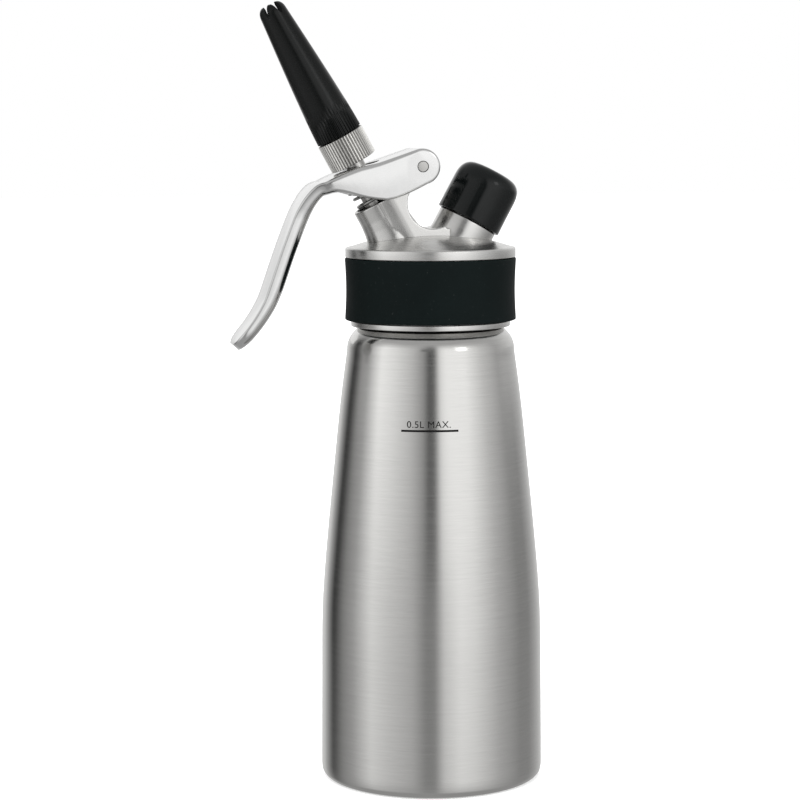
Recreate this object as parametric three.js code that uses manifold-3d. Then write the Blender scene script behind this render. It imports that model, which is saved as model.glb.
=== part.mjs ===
// A half litre whipped cream dispenser: a steel bottle with a screw-on head, a squeeze lever over a sprung
// valve, a decorating nozzle, and a boss for the gas charger under its protective cap.
// Millimetres, +Z up. The origin is the middle of the base, on the surface the bottle stands on.
// The lever and nozzle lean to -X, and the charger boss leans to +X.
import * as THREE from "three";
import { mergeVertices } from "three/addons/utils/BufferGeometryUtils.js";
import Module from "manifold-3d";

const wasm = await Module();
wasm.setup();

// Clearances
const seatGap = 0.3; // between two pieces that rest on or fill one another
const sideGap = 0.25; // between a lever cheek and the bracket
const pinGap = 0.1; // round the lever pin
const slideGap = 0.2; // round the sliding stem
const overrun = 1.5; // how far a cut runs past what it cuts
const weldSink = 0.05; // how far joined shapes run into each other
const weldTolerance = 1e-4; // points nearer than this are one

// Bottle
const bottleBaseRadius = 41.1;
const bottleShoulderRadius = 30.8;
const bottleNeckRadius = 25.6;
const bottleWall = 1.2;
const bottleSideHeight = 160; // from the base to where the shoulder rounds in
const bottleShoulderRise = 6.8;
const bottleCornerRadius = 4.5;
const baseRingInnerRadius = 26;
const baseRingWidth = 7;
const baseRingDepth = 1.2;

// Head: flange, skirt and domed plate in one turned piece
const headStandoff = 1.2; // from the bottle's shoulder to the head
const threadDepth = 0.8; // height of a thread ridge, on the neck and in the skirt alike
const skirtWall = 1.2;
const flangeProud = 0.6;
const flangeHeight = 2;
const plateProud = 2.6; // how far the plate stands out past the skirt
const plateRimHeight = 3.4;
const plateChamfer = 0.5;
const domeRise = 5.3;
const gasketThickness = 2.3;
const gasketWidth = 5.4;
const gasketTabLength = 3.4;
const gasketTabWidth = 8;
const gasketSeatDepth = 0.4; // how far the gasket's seat lies below the plate's rim
const lidRecessDepth = 3.2;
const lidRecessRadius = 19.5;

// Grip band
const bandHeight = 22.7;
const bandThickness = 2.5;
const bandWaist = 0.45; // how far the band draws in at half height

// Valve block: the valve's housing, the lever's bracket and their foot in one casting
const valveFootOffset = 11.37; // from the bottle's axis to the valve's, at the plate's rim
const valveTilt = THREE.MathUtils.degToRad(28.5);
const housingRadius = 8.8;
const housingFlare = 1.3;
const housingHeight = 19.15;
const housingFlareShares = [0.25, 0.6]; // of the housing's height, where its flare starts and ends
const springPocketRadius = 7.45;
const springPocketDepth = 11.1;
const sealBoreRadius = 6;
const shankRadius = 7.6;
const shankDrop = 9.5; // how far the valve seat lies below the plate's rim, along the valve
const bracketWidth = 21;
const pivotReach = 19.6; // from the valve's axis square across to the lever pin
const pivotRise = 23.2; // from the plate's rim up the valve's axis to the lever pin
const lugRadius = 4.7;
const lugLeanShare = 0.7; // of the lug's radius, from the pin to the web's upper corner
const webDropShare = 0.4; // of the lug's radius, from the pin to the web's corner by the coils
const bracketGapRadius = 9.4;
const bracketGapDrop = 13.6; // from the pin down to the centre of the round gap
const bracketGapShift = 2.6; // from the pin towards the valve
const footReach = 16.45; // from the valve's foot to the square end of the bracket's foot
const footHeight = 7.3;

// Lever
const leverReach = 90.3; // from the pin square across to the handle's tip
const leverDrop = 25; // from the pin down to the handle's tip
const leverArch = 12.25; // from the pin up to the top of the lever
const leverEndRadius = 6.5;
const leverHeadLength = 38;
const leverCheek = 2.25;
const leverRoof = 2.6;
const leverEndWall = 1.15;
const leverEdge = 1.1; // rounding of the cheeks' outer edges
const narrowingShare = 0.92; // of the channel's length, where the head starts to narrow
const handleRootShare = 0.9; // of the head's length, where the handle starts
const handleTaperShare = 0.22; // of the handle's length, over which it narrows to its full width
const tipShare = 0.1; // of the handle's length, over which its tip is rounded
const tipBluntShare = 0.35; // of the handle's width, left at its very end
const handleRootThickness = 4.7;
const handleThickness = 5.7;
const handleTipThickness = 4.3;
const handleThinningShare = 0.6; // of the handle's length, where it starts to thin towards its tip
const handleWidth = 21;
const handleRootWidth = 24.6;
const channelLength = 31; // from the pin to the blind end of the channel between the cheeks
const padRadius = 3;
const padRise = 7.6; // from the pin up to the centre of the pads that press the stem down
const pinRadius = 1.95;

// Stem and its pieces
const stemRadius = 4.2;
const stemNeckRadius = 3.5; // above the spring cap, where the nozzle's adapter screws on
const stemBoreRadius = 2.1;
const stemHoleRadius = 1.4;
const stemHoleRise = 3.2; // from the valve seat up to the side holes
const stemSpigotRadius = 2.5;
const springCapRadius = 7.6;
const springCapThickness = 2.5;
const clipRadius = 4.9;
const clipThickness = 0.8;
const clipGroove = 0.6;
const springWire = 1.25;
const springRadius = 6.35; // to the middle of the wire
const springTurns = 5.25;
const endTurnShare = 0.7; // of each end turn, laid flat before the coils climb
const coilLift = 1.1; // wire diameters that an end turn rises by
const guideFlange = 2;
const guideRadius = 5.7;
const guideStandoff = 1.05; // from the upper stem seal to the guide
const stemSealSection = 1; // radius of the seal rings' round section
const stemSealPitch = 3.2;
const valveSealRadius = 7;
const valveSealThickness = 2.2;
const sealNutRadius = 5.6;
const sealNutHeight = 3.2;
const sealNutShares = { dome: 0.25, edge: 0.3, face: 0.6 }; // dome and edge of its height, face of its radius

// Nozzle and its adapter
const adapterStandoff = 0.15; // from the top of the lever to the adapter
const adapterRadius = 8.8;
const adapterHeight = 10.8;
const knurlTeeth = 48;
const knurlDepth = 0.35;
const adapterRim = 0.8;
const stemEngagement = 6.7;
const washerThickness = 1.4;
const adapterSpigotRadius = 5.2;
const adapterSpigotHeight = 8.8;
const adapterBoreRadius = 2.3;
const nozzleBaseRadius = 8.6;
const nozzleTipRadius = 4.75; // where the side would end without the rounding
const nozzleMouthRadius = 1.9;
const nozzleLength = 53.1;
const nozzleBowShare = 0.2; // of its length, over which the side leaves the straight
const nozzleWall = 1.5;
const ribCount = 36;
const ribDepth = 0.55;
const ribLength = 14;
const ribLevelShares = [0, 0.5, 0.85, 1]; // of the ribs' length
const petalPairs = 4;
const petalSlot = 5.6;
const petalSlotWidth = 1.8;
const tipRounding = 3.2;
const tipRoundingShare = 0.75; // of the rounding, across the tip's end

// Charger boss, its gas inlet and the protective cap
const bossFootOffset = 8.86; // from the bottle's axis to the boss's, at the plate's rim
const bossTilt = THREE.MathUtils.degToRad(28.4);
const bossRadius = 11.2;
const bossFlare = 1.2;
const bossFlareShares = [0.15, 0.5]; // of the shoulder's height, where the flare starts and ends
const bossShoulder = 10.8; // from the plate's rim up to where the cap's rim sits
const bossThreadRadius = 10.3;
const bossThreadLength = 13;
const socketRadius = 5.6;
const socketDepth = 10.8;
const plugRadius = 4.3;
const plugLength = 5.7;
const plugSlotWidth = 1.2;
const plugSlotDepth = 1.4;
const checkRadius = 2.4;
const checkLength = 4.6;
const checkWaistShare = 0.75; // of the check valve's radius
const checkLevelShares = [0.3, 0.45, 0.9]; // of its length: lip, waist and the edge of its end
const gasPortRadius = 1.2;
const bossShankRadius = 4.5;
const bossShankDrop = 3.6;
const needleRadius = 1.25;
const needleLength = 9.4;
const needleBore = 0.45;
const needleFlangeRadius = 2.6;
const needleFlange = 1.1;
const chargerWasherThickness = 2;
const capRimRadius = 12.3;
const capTopRadius = 12.1;
const capWall = 1.3;
const capLength = 20.1;
const capCornerRadius = 5.4;

// Places worked out from the sizes above, upwards from the base
const shoulderTop = bottleSideHeight + bottleShoulderRise;
const headBottom = shoulderTop + headStandoff;
const bandBottom = headBottom + flangeHeight + seatGap;
const plateBottom = bandBottom + bandHeight + seatGap;
const plateTop = plateBottom + plateRimHeight;
const gasketSeat = plateBottom - gasketSeatDepth;
const gasketBottom = gasketSeat - seatGap - gasketThickness;
const rimTop = gasketBottom - seatGap;
const skirtInner = bottleNeckRadius + 2 * threadDepth + seatGap;
const skirtOuter = skirtInner + skirtWall;
const plateRadius = skirtOuter + plateProud;

// Places along the valve's axis, up from the plate's rim
const pocketFloor = housingHeight - springPocketDepth;
const guideTop = pocketFloor + seatGap + guideFlange;
const padRiseFromFoot = pivotRise + padRise;
const springCapTop = padRiseFromFoot - padRadius - seatGap;
const springCapBottom = springCapTop - springCapThickness;
const springBottom = guideTop + seatGap;
const springTop = springCapBottom - seatGap;
const leverTop = pivotRise + leverArch;
const adapterBottom = leverTop + adapterStandoff;
const adapterTop = adapterBottom + adapterHeight;
const stemTop = adapterBottom + stemEngagement;
const socketFloor = stemTop + washerThickness + 2 * seatGap;
const nozzleBottom = adapterTop + seatGap;
const nozzleTop = nozzleBottom + nozzleLength;
const stemFoot = -shankDrop;
const stemHoleLevel = stemFoot + stemHoleRise;
const lowerSealLevel = stemHoleLevel + stemHoleRadius + 2 * stemSealSection;
const upperSealLevel = lowerSealLevel + stemSealPitch;
const guideBottom = upperSealLevel + stemSealSection + guideStandoff;
const valveSealTop = stemFoot - seatGap;
const sealNutTop = valveSealTop - valveSealThickness - seatGap;

// Places along the charger boss's axis, up from the plate's rim
const bossTop = bossShoulder + bossThreadLength;
const socketBottom = bossTop - socketDepth;
const plugTop = socketBottom - seatGap;
const plugBottom = plugTop - plugLength;
const needleFlangeBottom = plugBottom - seatGap - needleFlange;
const boreFloor = needleFlangeBottom - seatGap;
const checkBottom = boreFloor - checkLength;
const capBottom = bossShoulder + seatGap;
const capTop = capBottom + capLength;

// How finely round shapes are drawn
const bodySteps = 36;
const turnedSteps = 20;
const smallSteps = 16;
const needleSteps = 12;
const arcSteps = 4;
const cornerSteps = 3;
const domeSteps = 4;
const waistSteps = 3;
const outlineSteps = 3;
const planSteps = 3;
const edgeSteps = 2;
const sectionSteps = 6;
const coilSteps = 10;
const handleSides = 12;
const handleSteps = 15;
const nozzleSteps = 3;

const brushedSteel = { color: 0xb6b6b4, roughness: 0.38, metalness: 1 };
const polishedSteel = { color: 0xd6d6d4, roughness: 0.16, metalness: 1 };
const turnedSteel = { color: 0xa9a8a4, roughness: 0.32, metalness: 1 };
const springSteel = { color: 0x8c8c8a, roughness: 0.3, metalness: 1 };
const brass = { color: 0xb59a58, roughness: 0.3, metalness: 1 };
const matteRubber = { color: 0x141a1b, roughness: 0.78, metalness: 0 };
const glossBlack = { color: 0x0a0a0b, roughness: 0.16, metalness: 0 };
const satinBlack = { color: 0x131314, roughness: 0.42, metalness: 0 };
const paleSilicone = { color: 0xd8d9d4, roughness: 0.6, metalness: 0 };
const darkRubber = { color: 0x1c1c1c, roughness: 0.7, metalness: 0 };
const whitePlastic = { color: 0xe6e5df, roughness: 0.45, metalness: 0 };

// A closed geometry as a solid that can be joined and cut.
function solid(geometry) {
  const bare = geometry.clone();
  bare.deleteAttribute("normal");
  bare.deleteAttribute("uv");
  const merged = mergeVertices(bare, weldTolerance);
  const corners = merged.index.array;
  const triangles = [];
  for (let i = 0; i < corners.length; i += 3) {
    const [a, b, c] = corners.slice(i, i + 3);
    if (a !== b && b !== c && c !== a) triangles.push(a, b, c);
  }
  return new wasm.Manifold(
    new wasm.Mesh({
      numProp: 3,
      vertProperties: merged.attributes.position.array,
      triVerts: new Uint32Array(triangles),
    }),
  );
}

// A solid as a geometry again.
function geometryOf(body) {
  const mesh = body.getMesh();
  const geometry = new THREE.BufferGeometry();
  geometry.setAttribute("position", new THREE.BufferAttribute(new Float32Array(mesh.vertProperties), 3));
  geometry.setIndex(new THREE.BufferAttribute(mesh.triVerts, 1));
  geometry.computeVertexNormals();
  return geometry;
}

// Points of a quarter of an ellipse about a centre, from one angle to another, in degrees.
function arc(x, y, xRadius, yRadius, from, to, steps = arcSteps) {
  return Array.from({ length: steps + 1 }, (_, i) => {
    const angle = THREE.MathUtils.degToRad(from + ((to - from) * i) / steps);
    return [x + xRadius * Math.cos(angle), y + yRadius * Math.sin(angle)];
  });
}

// A profile of [radius, height] points turned about Z. The profile closes on itself or on the axis.
function turned(profile, steps = turnedSteps) {
  const points = profile.map(([radius, height]) => new THREE.Vector2(radius, height));
  if (THREE.ShapeUtils.area(points) < 0) points.reverse();
  const onAxis = points.filter((point) => point.x === 0).length >= 2;
  if (onAxis) {
    while (points[0].x !== 0 || points.at(-1).x !== 0) points.push(points.shift());
  } else {
    points.push(points[0].clone());
  }
  return new THREE.LatheGeometry(points, steps).rotateX(Math.PI / 2);
}

// A plain turned ring or disc between two radii and two heights.
function ring(inner, outer, bottom, top, steps = turnedSteps) {
  return turned([[inner, bottom], [outer, bottom], [outer, top], [inner, top]], steps);
}

// A round bar across the object, along Y, at a place in the XZ plane.
function crossBar(radius, length, x, z, steps = turnedSteps) {
  return new THREE.CylinderGeometry(radius, radius, length, steps).translate(x, 0, z);
}

// A side outline, drawn in X and Z, given its width along Y, with its outer edges rounded off.
// Points that fall together where two curves meet are drawn once.
function sidePlate(outline, width, edge = 0) {
  const drawn = Array.isArray(outline)
    ? outline.map(([x, z]) => new THREE.Vector2(x, z))
    : outline.getPoints(outlineSteps);
  const points = drawn.filter((point, i) => point.distanceTo(drawn.at(i - 1)) > weldSink);
  const plate = new THREE.ExtrudeGeometry(new THREE.Shape(points), {
    depth: width - 2 * edge,
    bevelEnabled: edge > 0,
    bevelThickness: edge,
    bevelSize: edge,
    bevelOffset: -edge,
    bevelSegments: edgeSteps,
  });
  return plate.translate(0, 0, edge - width / 2).rotateX(Math.PI / 2);
}

// A slot with round ends along X, cut from one height to another.
function slot(fromX, toX, halfWidth, bottom, top) {
  const shape = new THREE.Shape();
  shape.absarc(toX - halfWidth, 0, halfWidth, -Math.PI / 2, Math.PI / 2, false);
  shape.absarc(fromX + halfWidth, 0, halfWidth, Math.PI / 2, -Math.PI / 2, false);
  return new THREE.ExtrudeGeometry(shape, {
    depth: top - bottom,
    bevelEnabled: false,
    curveSegments: smallSteps / 2,
  }).translate(0, 0, bottom);
}

// Frames of the two leaning axes, with their origin on the plate's rim
function leaningFrame(offset, tilt) {
  const frame = new THREE.Group();
  frame.position.set(offset, 0, plateTop);
  frame.rotation.y = tilt;
  frame.updateMatrix();
  return frame;
}
const valveFrame = leaningFrame(-valveFootOffset, -valveTilt);
const bossFrame = leaningFrame(bossFootOffset, bossTilt);

// The bottle's outside radius at a height on its side: nearly straight, then drawn in to the shoulder.
const sideShares = [[0.36, 0.04], [0.44, 0.095], [0.55, 0.235], [0.69, 0.45], [0.87, 0.74], [1, 1]];

function bottleSide(inset) {
  const drawnIn = bottleBaseRadius - bottleShoulderRadius;
  return sideShares.map(([heightShare, drawnShare]) => [
    bottleBaseRadius - drawnIn * drawnShare - inset,
    bottleSideHeight * heightShare,
  ]);
}

// Bottle: one drawn shell, with a stiffening ring pressed up into its base.
function bottle() {
  const shoulderWidth = bottleShoulderRadius - bottleNeckRadius;
  const corner = bottleCornerRadius;
  const innerCorner = corner - bottleWall;
  const ringOuter = baseRingInnerRadius + baseRingWidth;
  const ringSlope = baseRingDepth;
  const outside = [
    [0, 0],
    [baseRingInnerRadius, 0],
    [baseRingInnerRadius + ringSlope, baseRingDepth],
    [ringOuter - ringSlope, baseRingDepth],
    [ringOuter, 0],
    ...arc(bottleBaseRadius - corner, corner, corner, corner, -90, 0, cornerSteps),
    ...bottleSide(0),
    ...arc(bottleNeckRadius, bottleSideHeight, shoulderWidth, bottleShoulderRise, 0, 90).slice(1),
  ];
  const lip = bottleWall / 2;
  const mouth = arc(bottleNeckRadius - lip, rimTop - lip, lip, lip, 0, 180, cornerSteps);
  const neckInner = bottleNeckRadius - bottleWall;
  const inside = [
    ...arc(neckInner, bottleSideHeight, shoulderWidth, bottleShoulderRise, 90, 0, edgeSteps),
    ...bottleSide(bottleWall).slice(0, -1).reverse(),
    ...arc(bottleBaseRadius - corner, corner, innerCorner, innerCorner, 0, -90, edgeSteps),
    [ringOuter + bottleWall, bottleWall],
    [ringOuter + bottleWall - ringSlope, bottleWall + baseRingDepth],
    [baseRingInnerRadius - bottleWall + ringSlope, bottleWall + baseRingDepth],
    [baseRingInnerRadius - bottleWall, bottleWall],
    [0, bottleWall],
  ];
  return turned([...outside, ...mouth, ...inside], bodySteps);
}

// The plate's domed top, raised by a clearance for cutting what stands on it.
function dome(raise) {
  return Array.from({ length: domeSteps + 1 }, (_, i) => {
    const share = 1 - i / domeSteps;
    return [(plateRadius - plateChamfer) * share, plateTop + raise + domeRise * (1 - share * share)];
  });
}

// The bore for a leaning shank, in the head's own frame.
function leaningBore(frame, radius) {
  const depth = shankDrop + housingHeight;
  return ring(0, radius, -depth, depth).applyMatrix4(frame.matrix);
}

// Head: flange, threaded skirt and domed plate, bored for the valve and for the gas.
function headCap() {
  const body = solid(
    turned(
      [
        [skirtInner, headBottom],
        [skirtOuter + flangeProud, headBottom],
        [skirtOuter + flangeProud, headBottom + flangeHeight],
        [skirtOuter, headBottom + flangeHeight],
        [skirtOuter, plateBottom],
        [plateRadius, plateBottom],
        [plateRadius, plateTop - plateChamfer],
        ...dome(0),
        [0, gasketSeat + lidRecessDepth],
        [lidRecessRadius - lidRecessDepth, gasketSeat + lidRecessDepth],
        [lidRecessRadius, gasketSeat],
        [skirtInner, gasketSeat],
      ],
      bodySteps,
    ),
  );
  const valveBore = solid(leaningBore(valveFrame, shankRadius + seatGap));
  const gasBore = solid(leaningBore(bossFrame, bossShankRadius + seatGap));
  return geometryOf(body.subtract(valveBore).subtract(gasBore));
}

// Grip band: a ribless sleeve, slightly waisted, held between flange and plate.
function gripBand() {
  const inner = skirtOuter + seatGap;
  const outer = inner + bandThickness;
  const outside = Array.from({ length: waistSteps + 1 }, (_, i) => {
    const share = i / waistSteps;
    return [outer - bandWaist * Math.sin(Math.PI * share), bandBottom + bandHeight * share];
  });
  return turned([[inner, bandBottom], ...outside, [inner, bandBottom + bandHeight]], bodySteps);
}

// Head gasket: a flat ring on the bottle's rim, with a tab to pull it out by.
function headGasket() {
  const outer = skirtInner - seatGap;
  const inner = outer - gasketWidth;
  const top = gasketBottom + gasketThickness;
  const body = solid(ring(inner, outer, gasketBottom, top, bodySteps));
  const tab = new THREE.BoxGeometry(gasketTabWidth, gasketTabLength + overrun, gasketThickness);
  tab.translate(0, inner - (gasketTabLength - overrun) / 2, (gasketBottom + top) / 2);
  return geometryOf(body.add(solid(tab)));
}

// A solid disc under the dome, in a leaning frame, that trims what stands on the plate.
function plateTrim(frame) {
  const trim = turned([[0, 0], [plateRadius, 0], ...dome(seatGap)], bodySteps);
  return solid(trim.applyMatrix4(frame.matrix.clone().invert()));
}

// The side outline of the bracket's web, from the housing's middle to the lug round the pin.
function webOutline() {
  const coilClear = housingRadius + seatGap;
  const gapX = pivotReach - bracketGapShift;
  const floor = -shankDrop;
  return [
    [0, floor],
    [gapX, floor],
    [gapX, pivotRise],
    [pivotReach, pivotRise],
    [pivotReach - lugRadius * lugLeanShare, pivotRise + lugRadius * lugLeanShare],
    [coilClear, pivotRise - lugRadius * webDropShare],
    [coilClear, housingHeight],
    [0, housingHeight],
  ];
}

// The charger boss's outside, grown by a clearance for cutting what stands beside it.
function bossProfile(grow) {
  const [flareFoot, flareTop] = bossFlareShares.map((share) => bossShoulder * share);
  return [
    [0, -bossShankDrop],
    [bossRadius + bossFlare + grow, -bossShankDrop],
    [bossRadius + bossFlare + grow, flareFoot],
    [bossRadius + grow, flareTop],
    [bossRadius + grow, bossShoulder],
    [bossThreadRadius + grow, bossShoulder],
    [bossThreadRadius + grow, bossTop - bossFlare],
    [bossThreadRadius - bossFlare, bossTop],
    [0, bossTop],
  ];
}

// Valve block: housing, lever bracket and foot in one casting, with the valve's bores down its middle.
function valveBlock() {
  const [flareFoot, flareTop] = housingFlareShares.map((share) => housingHeight * share);
  const barrel = solid(
    turned([
      [0, -shankDrop],
      [housingRadius + housingFlare, -shankDrop],
      [housingRadius + housingFlare, flareFoot],
      [housingRadius, flareTop],
      [housingRadius, housingHeight - weldSink],
      [housingRadius - weldSink, housingHeight],
      [0, housingHeight],
    ]),
  );
  const gapX = pivotReach - bracketGapShift;
  const gapZ = pivotRise - bracketGapDrop;
  const web = solid(sidePlate(webOutline(), bracketWidth))
    .subtract(solid(crossBar(bracketGapRadius, bracketWidth + overrun, gapX, gapZ, 2 * turnedSteps)))
    .add(solid(crossBar(lugRadius, bracketWidth, pivotReach, pivotRise)));
  const foot = new THREE.BoxGeometry(footReach, bracketWidth, footHeight + overrun)
    .translate(footReach / 2 - valveFootOffset, 0, plateTop + (footHeight - overrun) / 2)
    .applyMatrix4(valveFrame.matrix.clone().invert());
  const boss = turned(bossProfile(seatGap))
    .applyMatrix4(bossFrame.matrix)
    .applyMatrix4(valveFrame.matrix.clone().invert());
  const coilSpace = ring(0, housingRadius + seatGap, housingHeight, leverTop);
  const outer = barrel
    .add(web.subtract(solid(coilSpace)))
    .add(solid(foot))
    .subtract(solid(boss))
    .subtract(plateTrim(valveFrame));
  const shank = ring(0, shankRadius, -shankDrop, pocketFloor);
  const bores = turned([
    [0, -shankDrop - overrun],
    [sealBoreRadius, -shankDrop - overrun],
    [sealBoreRadius, pocketFloor],
    [springPocketRadius, pocketFloor],
    [springPocketRadius, housingHeight + overrun],
    [0, housingHeight + overrun],
  ]);
  const pinBore = crossBar(pinRadius + pinGap, bracketWidth + overrun, pivotReach, pivotRise);
  return geometryOf(outer.add(solid(shank)).subtract(solid(bores)).subtract(solid(pinBore)));
}

// The lever's head, as shares of its length and of its height above and below the pin
const headTopShares = [[0.38, 0.475], [0.57, 0.82], [0.78, 0.97], [0.91, 1], [1, 0.94]];
const headBellyShares = [[1, 0.97], [0.9, 1], [0.83, 0.946], [0.74, 0.76], [0.655, 0.554], [0.54, 0.318],
  [0.42, 0.11], [0.225, 0.035]];
const handleShares = [[0, 0], [0.061, -0.005], [0.186, 0.091], [0.393, 0.364], [0.613, 0.683], [0.72, 0.808],
  [0.851, 0.914], [1, 1]];
const topSlope = THREE.MathUtils.degToRad(79.5); // where the round end runs into the top

function headTopPoint([lengthShare, riseShare], lower = 0) {
  const rise = leverEndRadius + (leverArch - leverEndRadius) * riseShare - lower;
  return new THREE.Vector2(-leverHeadLength * lengthShare, rise);
}

function headOutline() {
  const span = leverArch - handleRootThickness + leverEndRadius;
  const belly = headBellyShares.map(
    ([lengthShare, riseShare]) =>
      new THREE.Vector2(-leverHeadLength * lengthShare, span * riseShare - leverEndRadius),
  );
  const shape = new THREE.Shape();
  shape.absarc(0, 0, leverEndRadius, -Math.PI / 2, topSlope, false);
  shape.splineThru(headTopShares.map((share) => headTopPoint(share)));
  const end = -leverHeadLength - 2 * overrun;
  shape.lineTo(end, headTopPoint(headTopShares.at(-1)).y);
  shape.lineTo(end, belly[0].y);
  shape.lineTo(belly[0].x, belly[0].y);
  shape.splineThru([...belly.slice(1), new THREE.Vector2(0, -leverEndRadius)]);
  return shape;
}

// The space between the cheeks: open below, closed over the pin's far side by the end wall.
function channelOutline() {
  const radius = leverEndRadius - leverEndWall;
  const depth = 2 * leverEndRadius + overrun;
  const ceiling = headTopShares
    .slice(0, 3)
    .map((share) => headTopPoint(share, leverRoof))
    .filter((point) => point.x > -channelLength);
  const shape = new THREE.Shape();
  shape.moveTo(leverEndRadius + overrun, -depth);
  shape.lineTo(leverEndRadius + overrun, 0);
  shape.lineTo(radius, 0);
  shape.absarc(0, 0, radius, 0, topSlope, false);
  shape.splineThru(ceiling);
  shape.lineTo(-channelLength, ceiling.at(-1).y - leverEdge);
  shape.lineTo(-channelLength, -depth);
  return shape;
}

// The lever's outline from above, which narrows its head down to the handle.
function planOutline() {
  const half = bracketWidth / 2 + sideGap + leverCheek;
  const narrow = handleRootWidth / 2;
  const narrowing = channelLength * narrowingShare;
  const shape = new THREE.Shape();
  shape.moveTo(leverEndRadius + overrun, -half);
  shape.lineTo(leverEndRadius + overrun, half);
  shape.lineTo(-narrowing, half);
  const bend = -leverHeadLength + overrun;
  shape.bezierCurveTo(bend, half, bend, narrow, -leverHeadLength, narrow);
  shape.lineTo(-leverHeadLength, -narrow);
  shape.bezierCurveTo(bend, -narrow, bend, -half, -narrowing, -half);
  return shape;
}

// A bar swept along a curve in the XZ plane. Its section is a rounded rectangle, broad along Y.
function sweptBar(curve, sizeAt, sides, steps) {
  const geometry = new THREE.CylinderGeometry(1, 1, 1, sides, steps);
  const across = new THREE.Vector3(0, 1, 0);
  const place = geometry.attributes.position;
  const rounded = (value) => Math.sign(value) * Math.sqrt(Math.abs(value));
  for (let i = 0; i < place.count; i += 1) {
    const share = place.getY(i) + 0.5;
    const { width, thickness } = sizeAt(share);
    const middle = curve.getPointAt(share);
    const through = curve.getTangentAt(share).cross(across);
    middle.addScaledVector(through, (rounded(place.getX(i)) * thickness) / 2);
    middle.addScaledVector(across, (rounded(place.getZ(i)) * width) / 2);
    place.setXYZ(i, middle.x, middle.y, middle.z);
  }
  return geometry;
}

// The handle: drawn from the head over the bend and down to its rounded tip.
function handle() {
  const root = leverHeadLength * handleRootShare;
  const high = leverArch - handleRootThickness / 2;
  const path = handleShares.map(
    ([reachShare, dropShare]) =>
      new THREE.Vector3(
        -root - (leverReach - root) * reachShare,
        0,
        high - (high + leverDrop) * dropShare,
      ),
  );
  const sizeAt = (share) => {
    const narrowing = Math.min(1, share / handleTaperShare);
    const full = handleRootWidth + (handleWidth - handleRootWidth) * narrowing;
    const tip = Math.max(0, (share - 1 + tipShare) / tipShare);
    const roundedShare = tipBluntShare + (1 - tipBluntShare) * Math.sqrt(1 - tip * tip);
    const thinning = Math.max(0, (share - handleThinningShare) / (1 - handleThinningShare));
    const thick = handleRootThickness + (handleThickness - handleRootThickness) * narrowing;
    const thickness = thick - (handleThickness - handleTipThickness) * thinning;
    return { width: full * roundedShare, thickness };
  };
  return sweptBar(new THREE.CatmullRomCurve3(path, false, "centripetal"), sizeAt, handleSides, handleSteps);
}

// Lever: a cast channel over the bracket, two pads that press the stem down, and the handle.
// It is drawn about the pin and then moved to it.
function lever() {
  const width = bracketWidth + 2 * (sideGap + leverCheek);
  const channelWidth = bracketWidth + 2 * sideGap;
  const tall = leverArch + overrun;
  const plan = new THREE.ExtrudeGeometry(planOutline(), {
    depth: 2 * tall,
    bevelEnabled: false,
    curveSegments: planSteps,
  }).translate(0, 0, -tall);
  const head = solid(sidePlate(headOutline(), width, leverEdge)).intersect(solid(plan));
  const pads = solid(crossBar(padRadius, channelWidth + 2 * weldSink, -pivotReach, padRise));
  const stemSpace = slot(
    -pivotReach - clipRadius - seatGap,
    -pivotReach + clipRadius + seatGap + padRadius,
    clipRadius + seatGap,
    0,
    tall,
  );
  const body = head
    .add(solid(handle()))
    .subtract(solid(sidePlate(channelOutline(), channelWidth)))
    .add(pads.intersect(solid(sidePlate(headOutline(), width))))
    .subtract(solid(stemSpace))
    .subtract(solid(crossBar(pinRadius + pinGap, width + overrun, 0, 0)));
  return geometryOf(body).translate(pivotReach, 0, pivotRise);
}

// Lever pin: a plain dowel, flush with both cheeks, its ends eased.
function leverPin() {
  const half = bracketWidth / 2 + sideGap + leverCheek - pinGap;
  const eased = pinRadius - pinGap;
  return turned([
    [0, -half],
    [eased, -half],
    [pinRadius, -half + pinGap],
    [pinRadius, half - pinGap],
    [eased, half],
    [0, half],
  ]).rotateX(Math.PI / 2).translate(pivotReach, 0, pivotRise);
}

// Valve stem: a tube open at the top, with side holes above the seat and grooves for its seals and clip.
function valveStem() {
  const grooveRadius = sealBoreRadius - seatGap - 2 * stemSealSection - seatGap;
  const grooveHalf = stemSealSection + seatGap;
  const groove = (level) => [
    [stemRadius, level - grooveHalf],
    [grooveRadius, level - grooveHalf],
    [grooveRadius, level + grooveHalf],
    [stemRadius, level + grooveHalf],
  ];
  const clipBottom = springCapTop + seatGap;
  const clipFloor = stemNeckRadius - clipGroove;
  const body = solid(
    turned(
      [
        [0, sealNutTop - sealNutHeight + seatGap],
        [stemSpigotRadius, sealNutTop - sealNutHeight + seatGap],
        [stemSpigotRadius, stemFoot],
        [stemRadius, stemFoot],
        ...groove(lowerSealLevel),
        ...groove(upperSealLevel),
        [stemRadius, springCapBottom - seatGap],
        [stemNeckRadius, springCapBottom - seatGap],
        [stemNeckRadius, clipBottom - seatGap / 2],
        [clipFloor, clipBottom - seatGap / 2],
        [clipFloor, clipBottom + clipThickness + seatGap / 2],
        [stemNeckRadius, clipBottom + clipThickness + seatGap / 2],
        [stemNeckRadius, stemTop],
        [0, stemTop],
      ],
      needleSteps,
    ),
  );
  const bore = ring(0, stemBoreRadius, stemHoleLevel - stemHoleRadius, stemTop + overrun, needleSteps);
  const acrossY = crossBar(stemHoleRadius, 2 * (stemRadius + overrun), 0, stemHoleLevel, needleSteps);
  const acrossX = acrossY.clone().rotateZ(Math.PI / 2);
  return geometryOf(body.subtract(solid(bore)).subtract(solid(acrossY)).subtract(solid(acrossX)));
}

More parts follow.
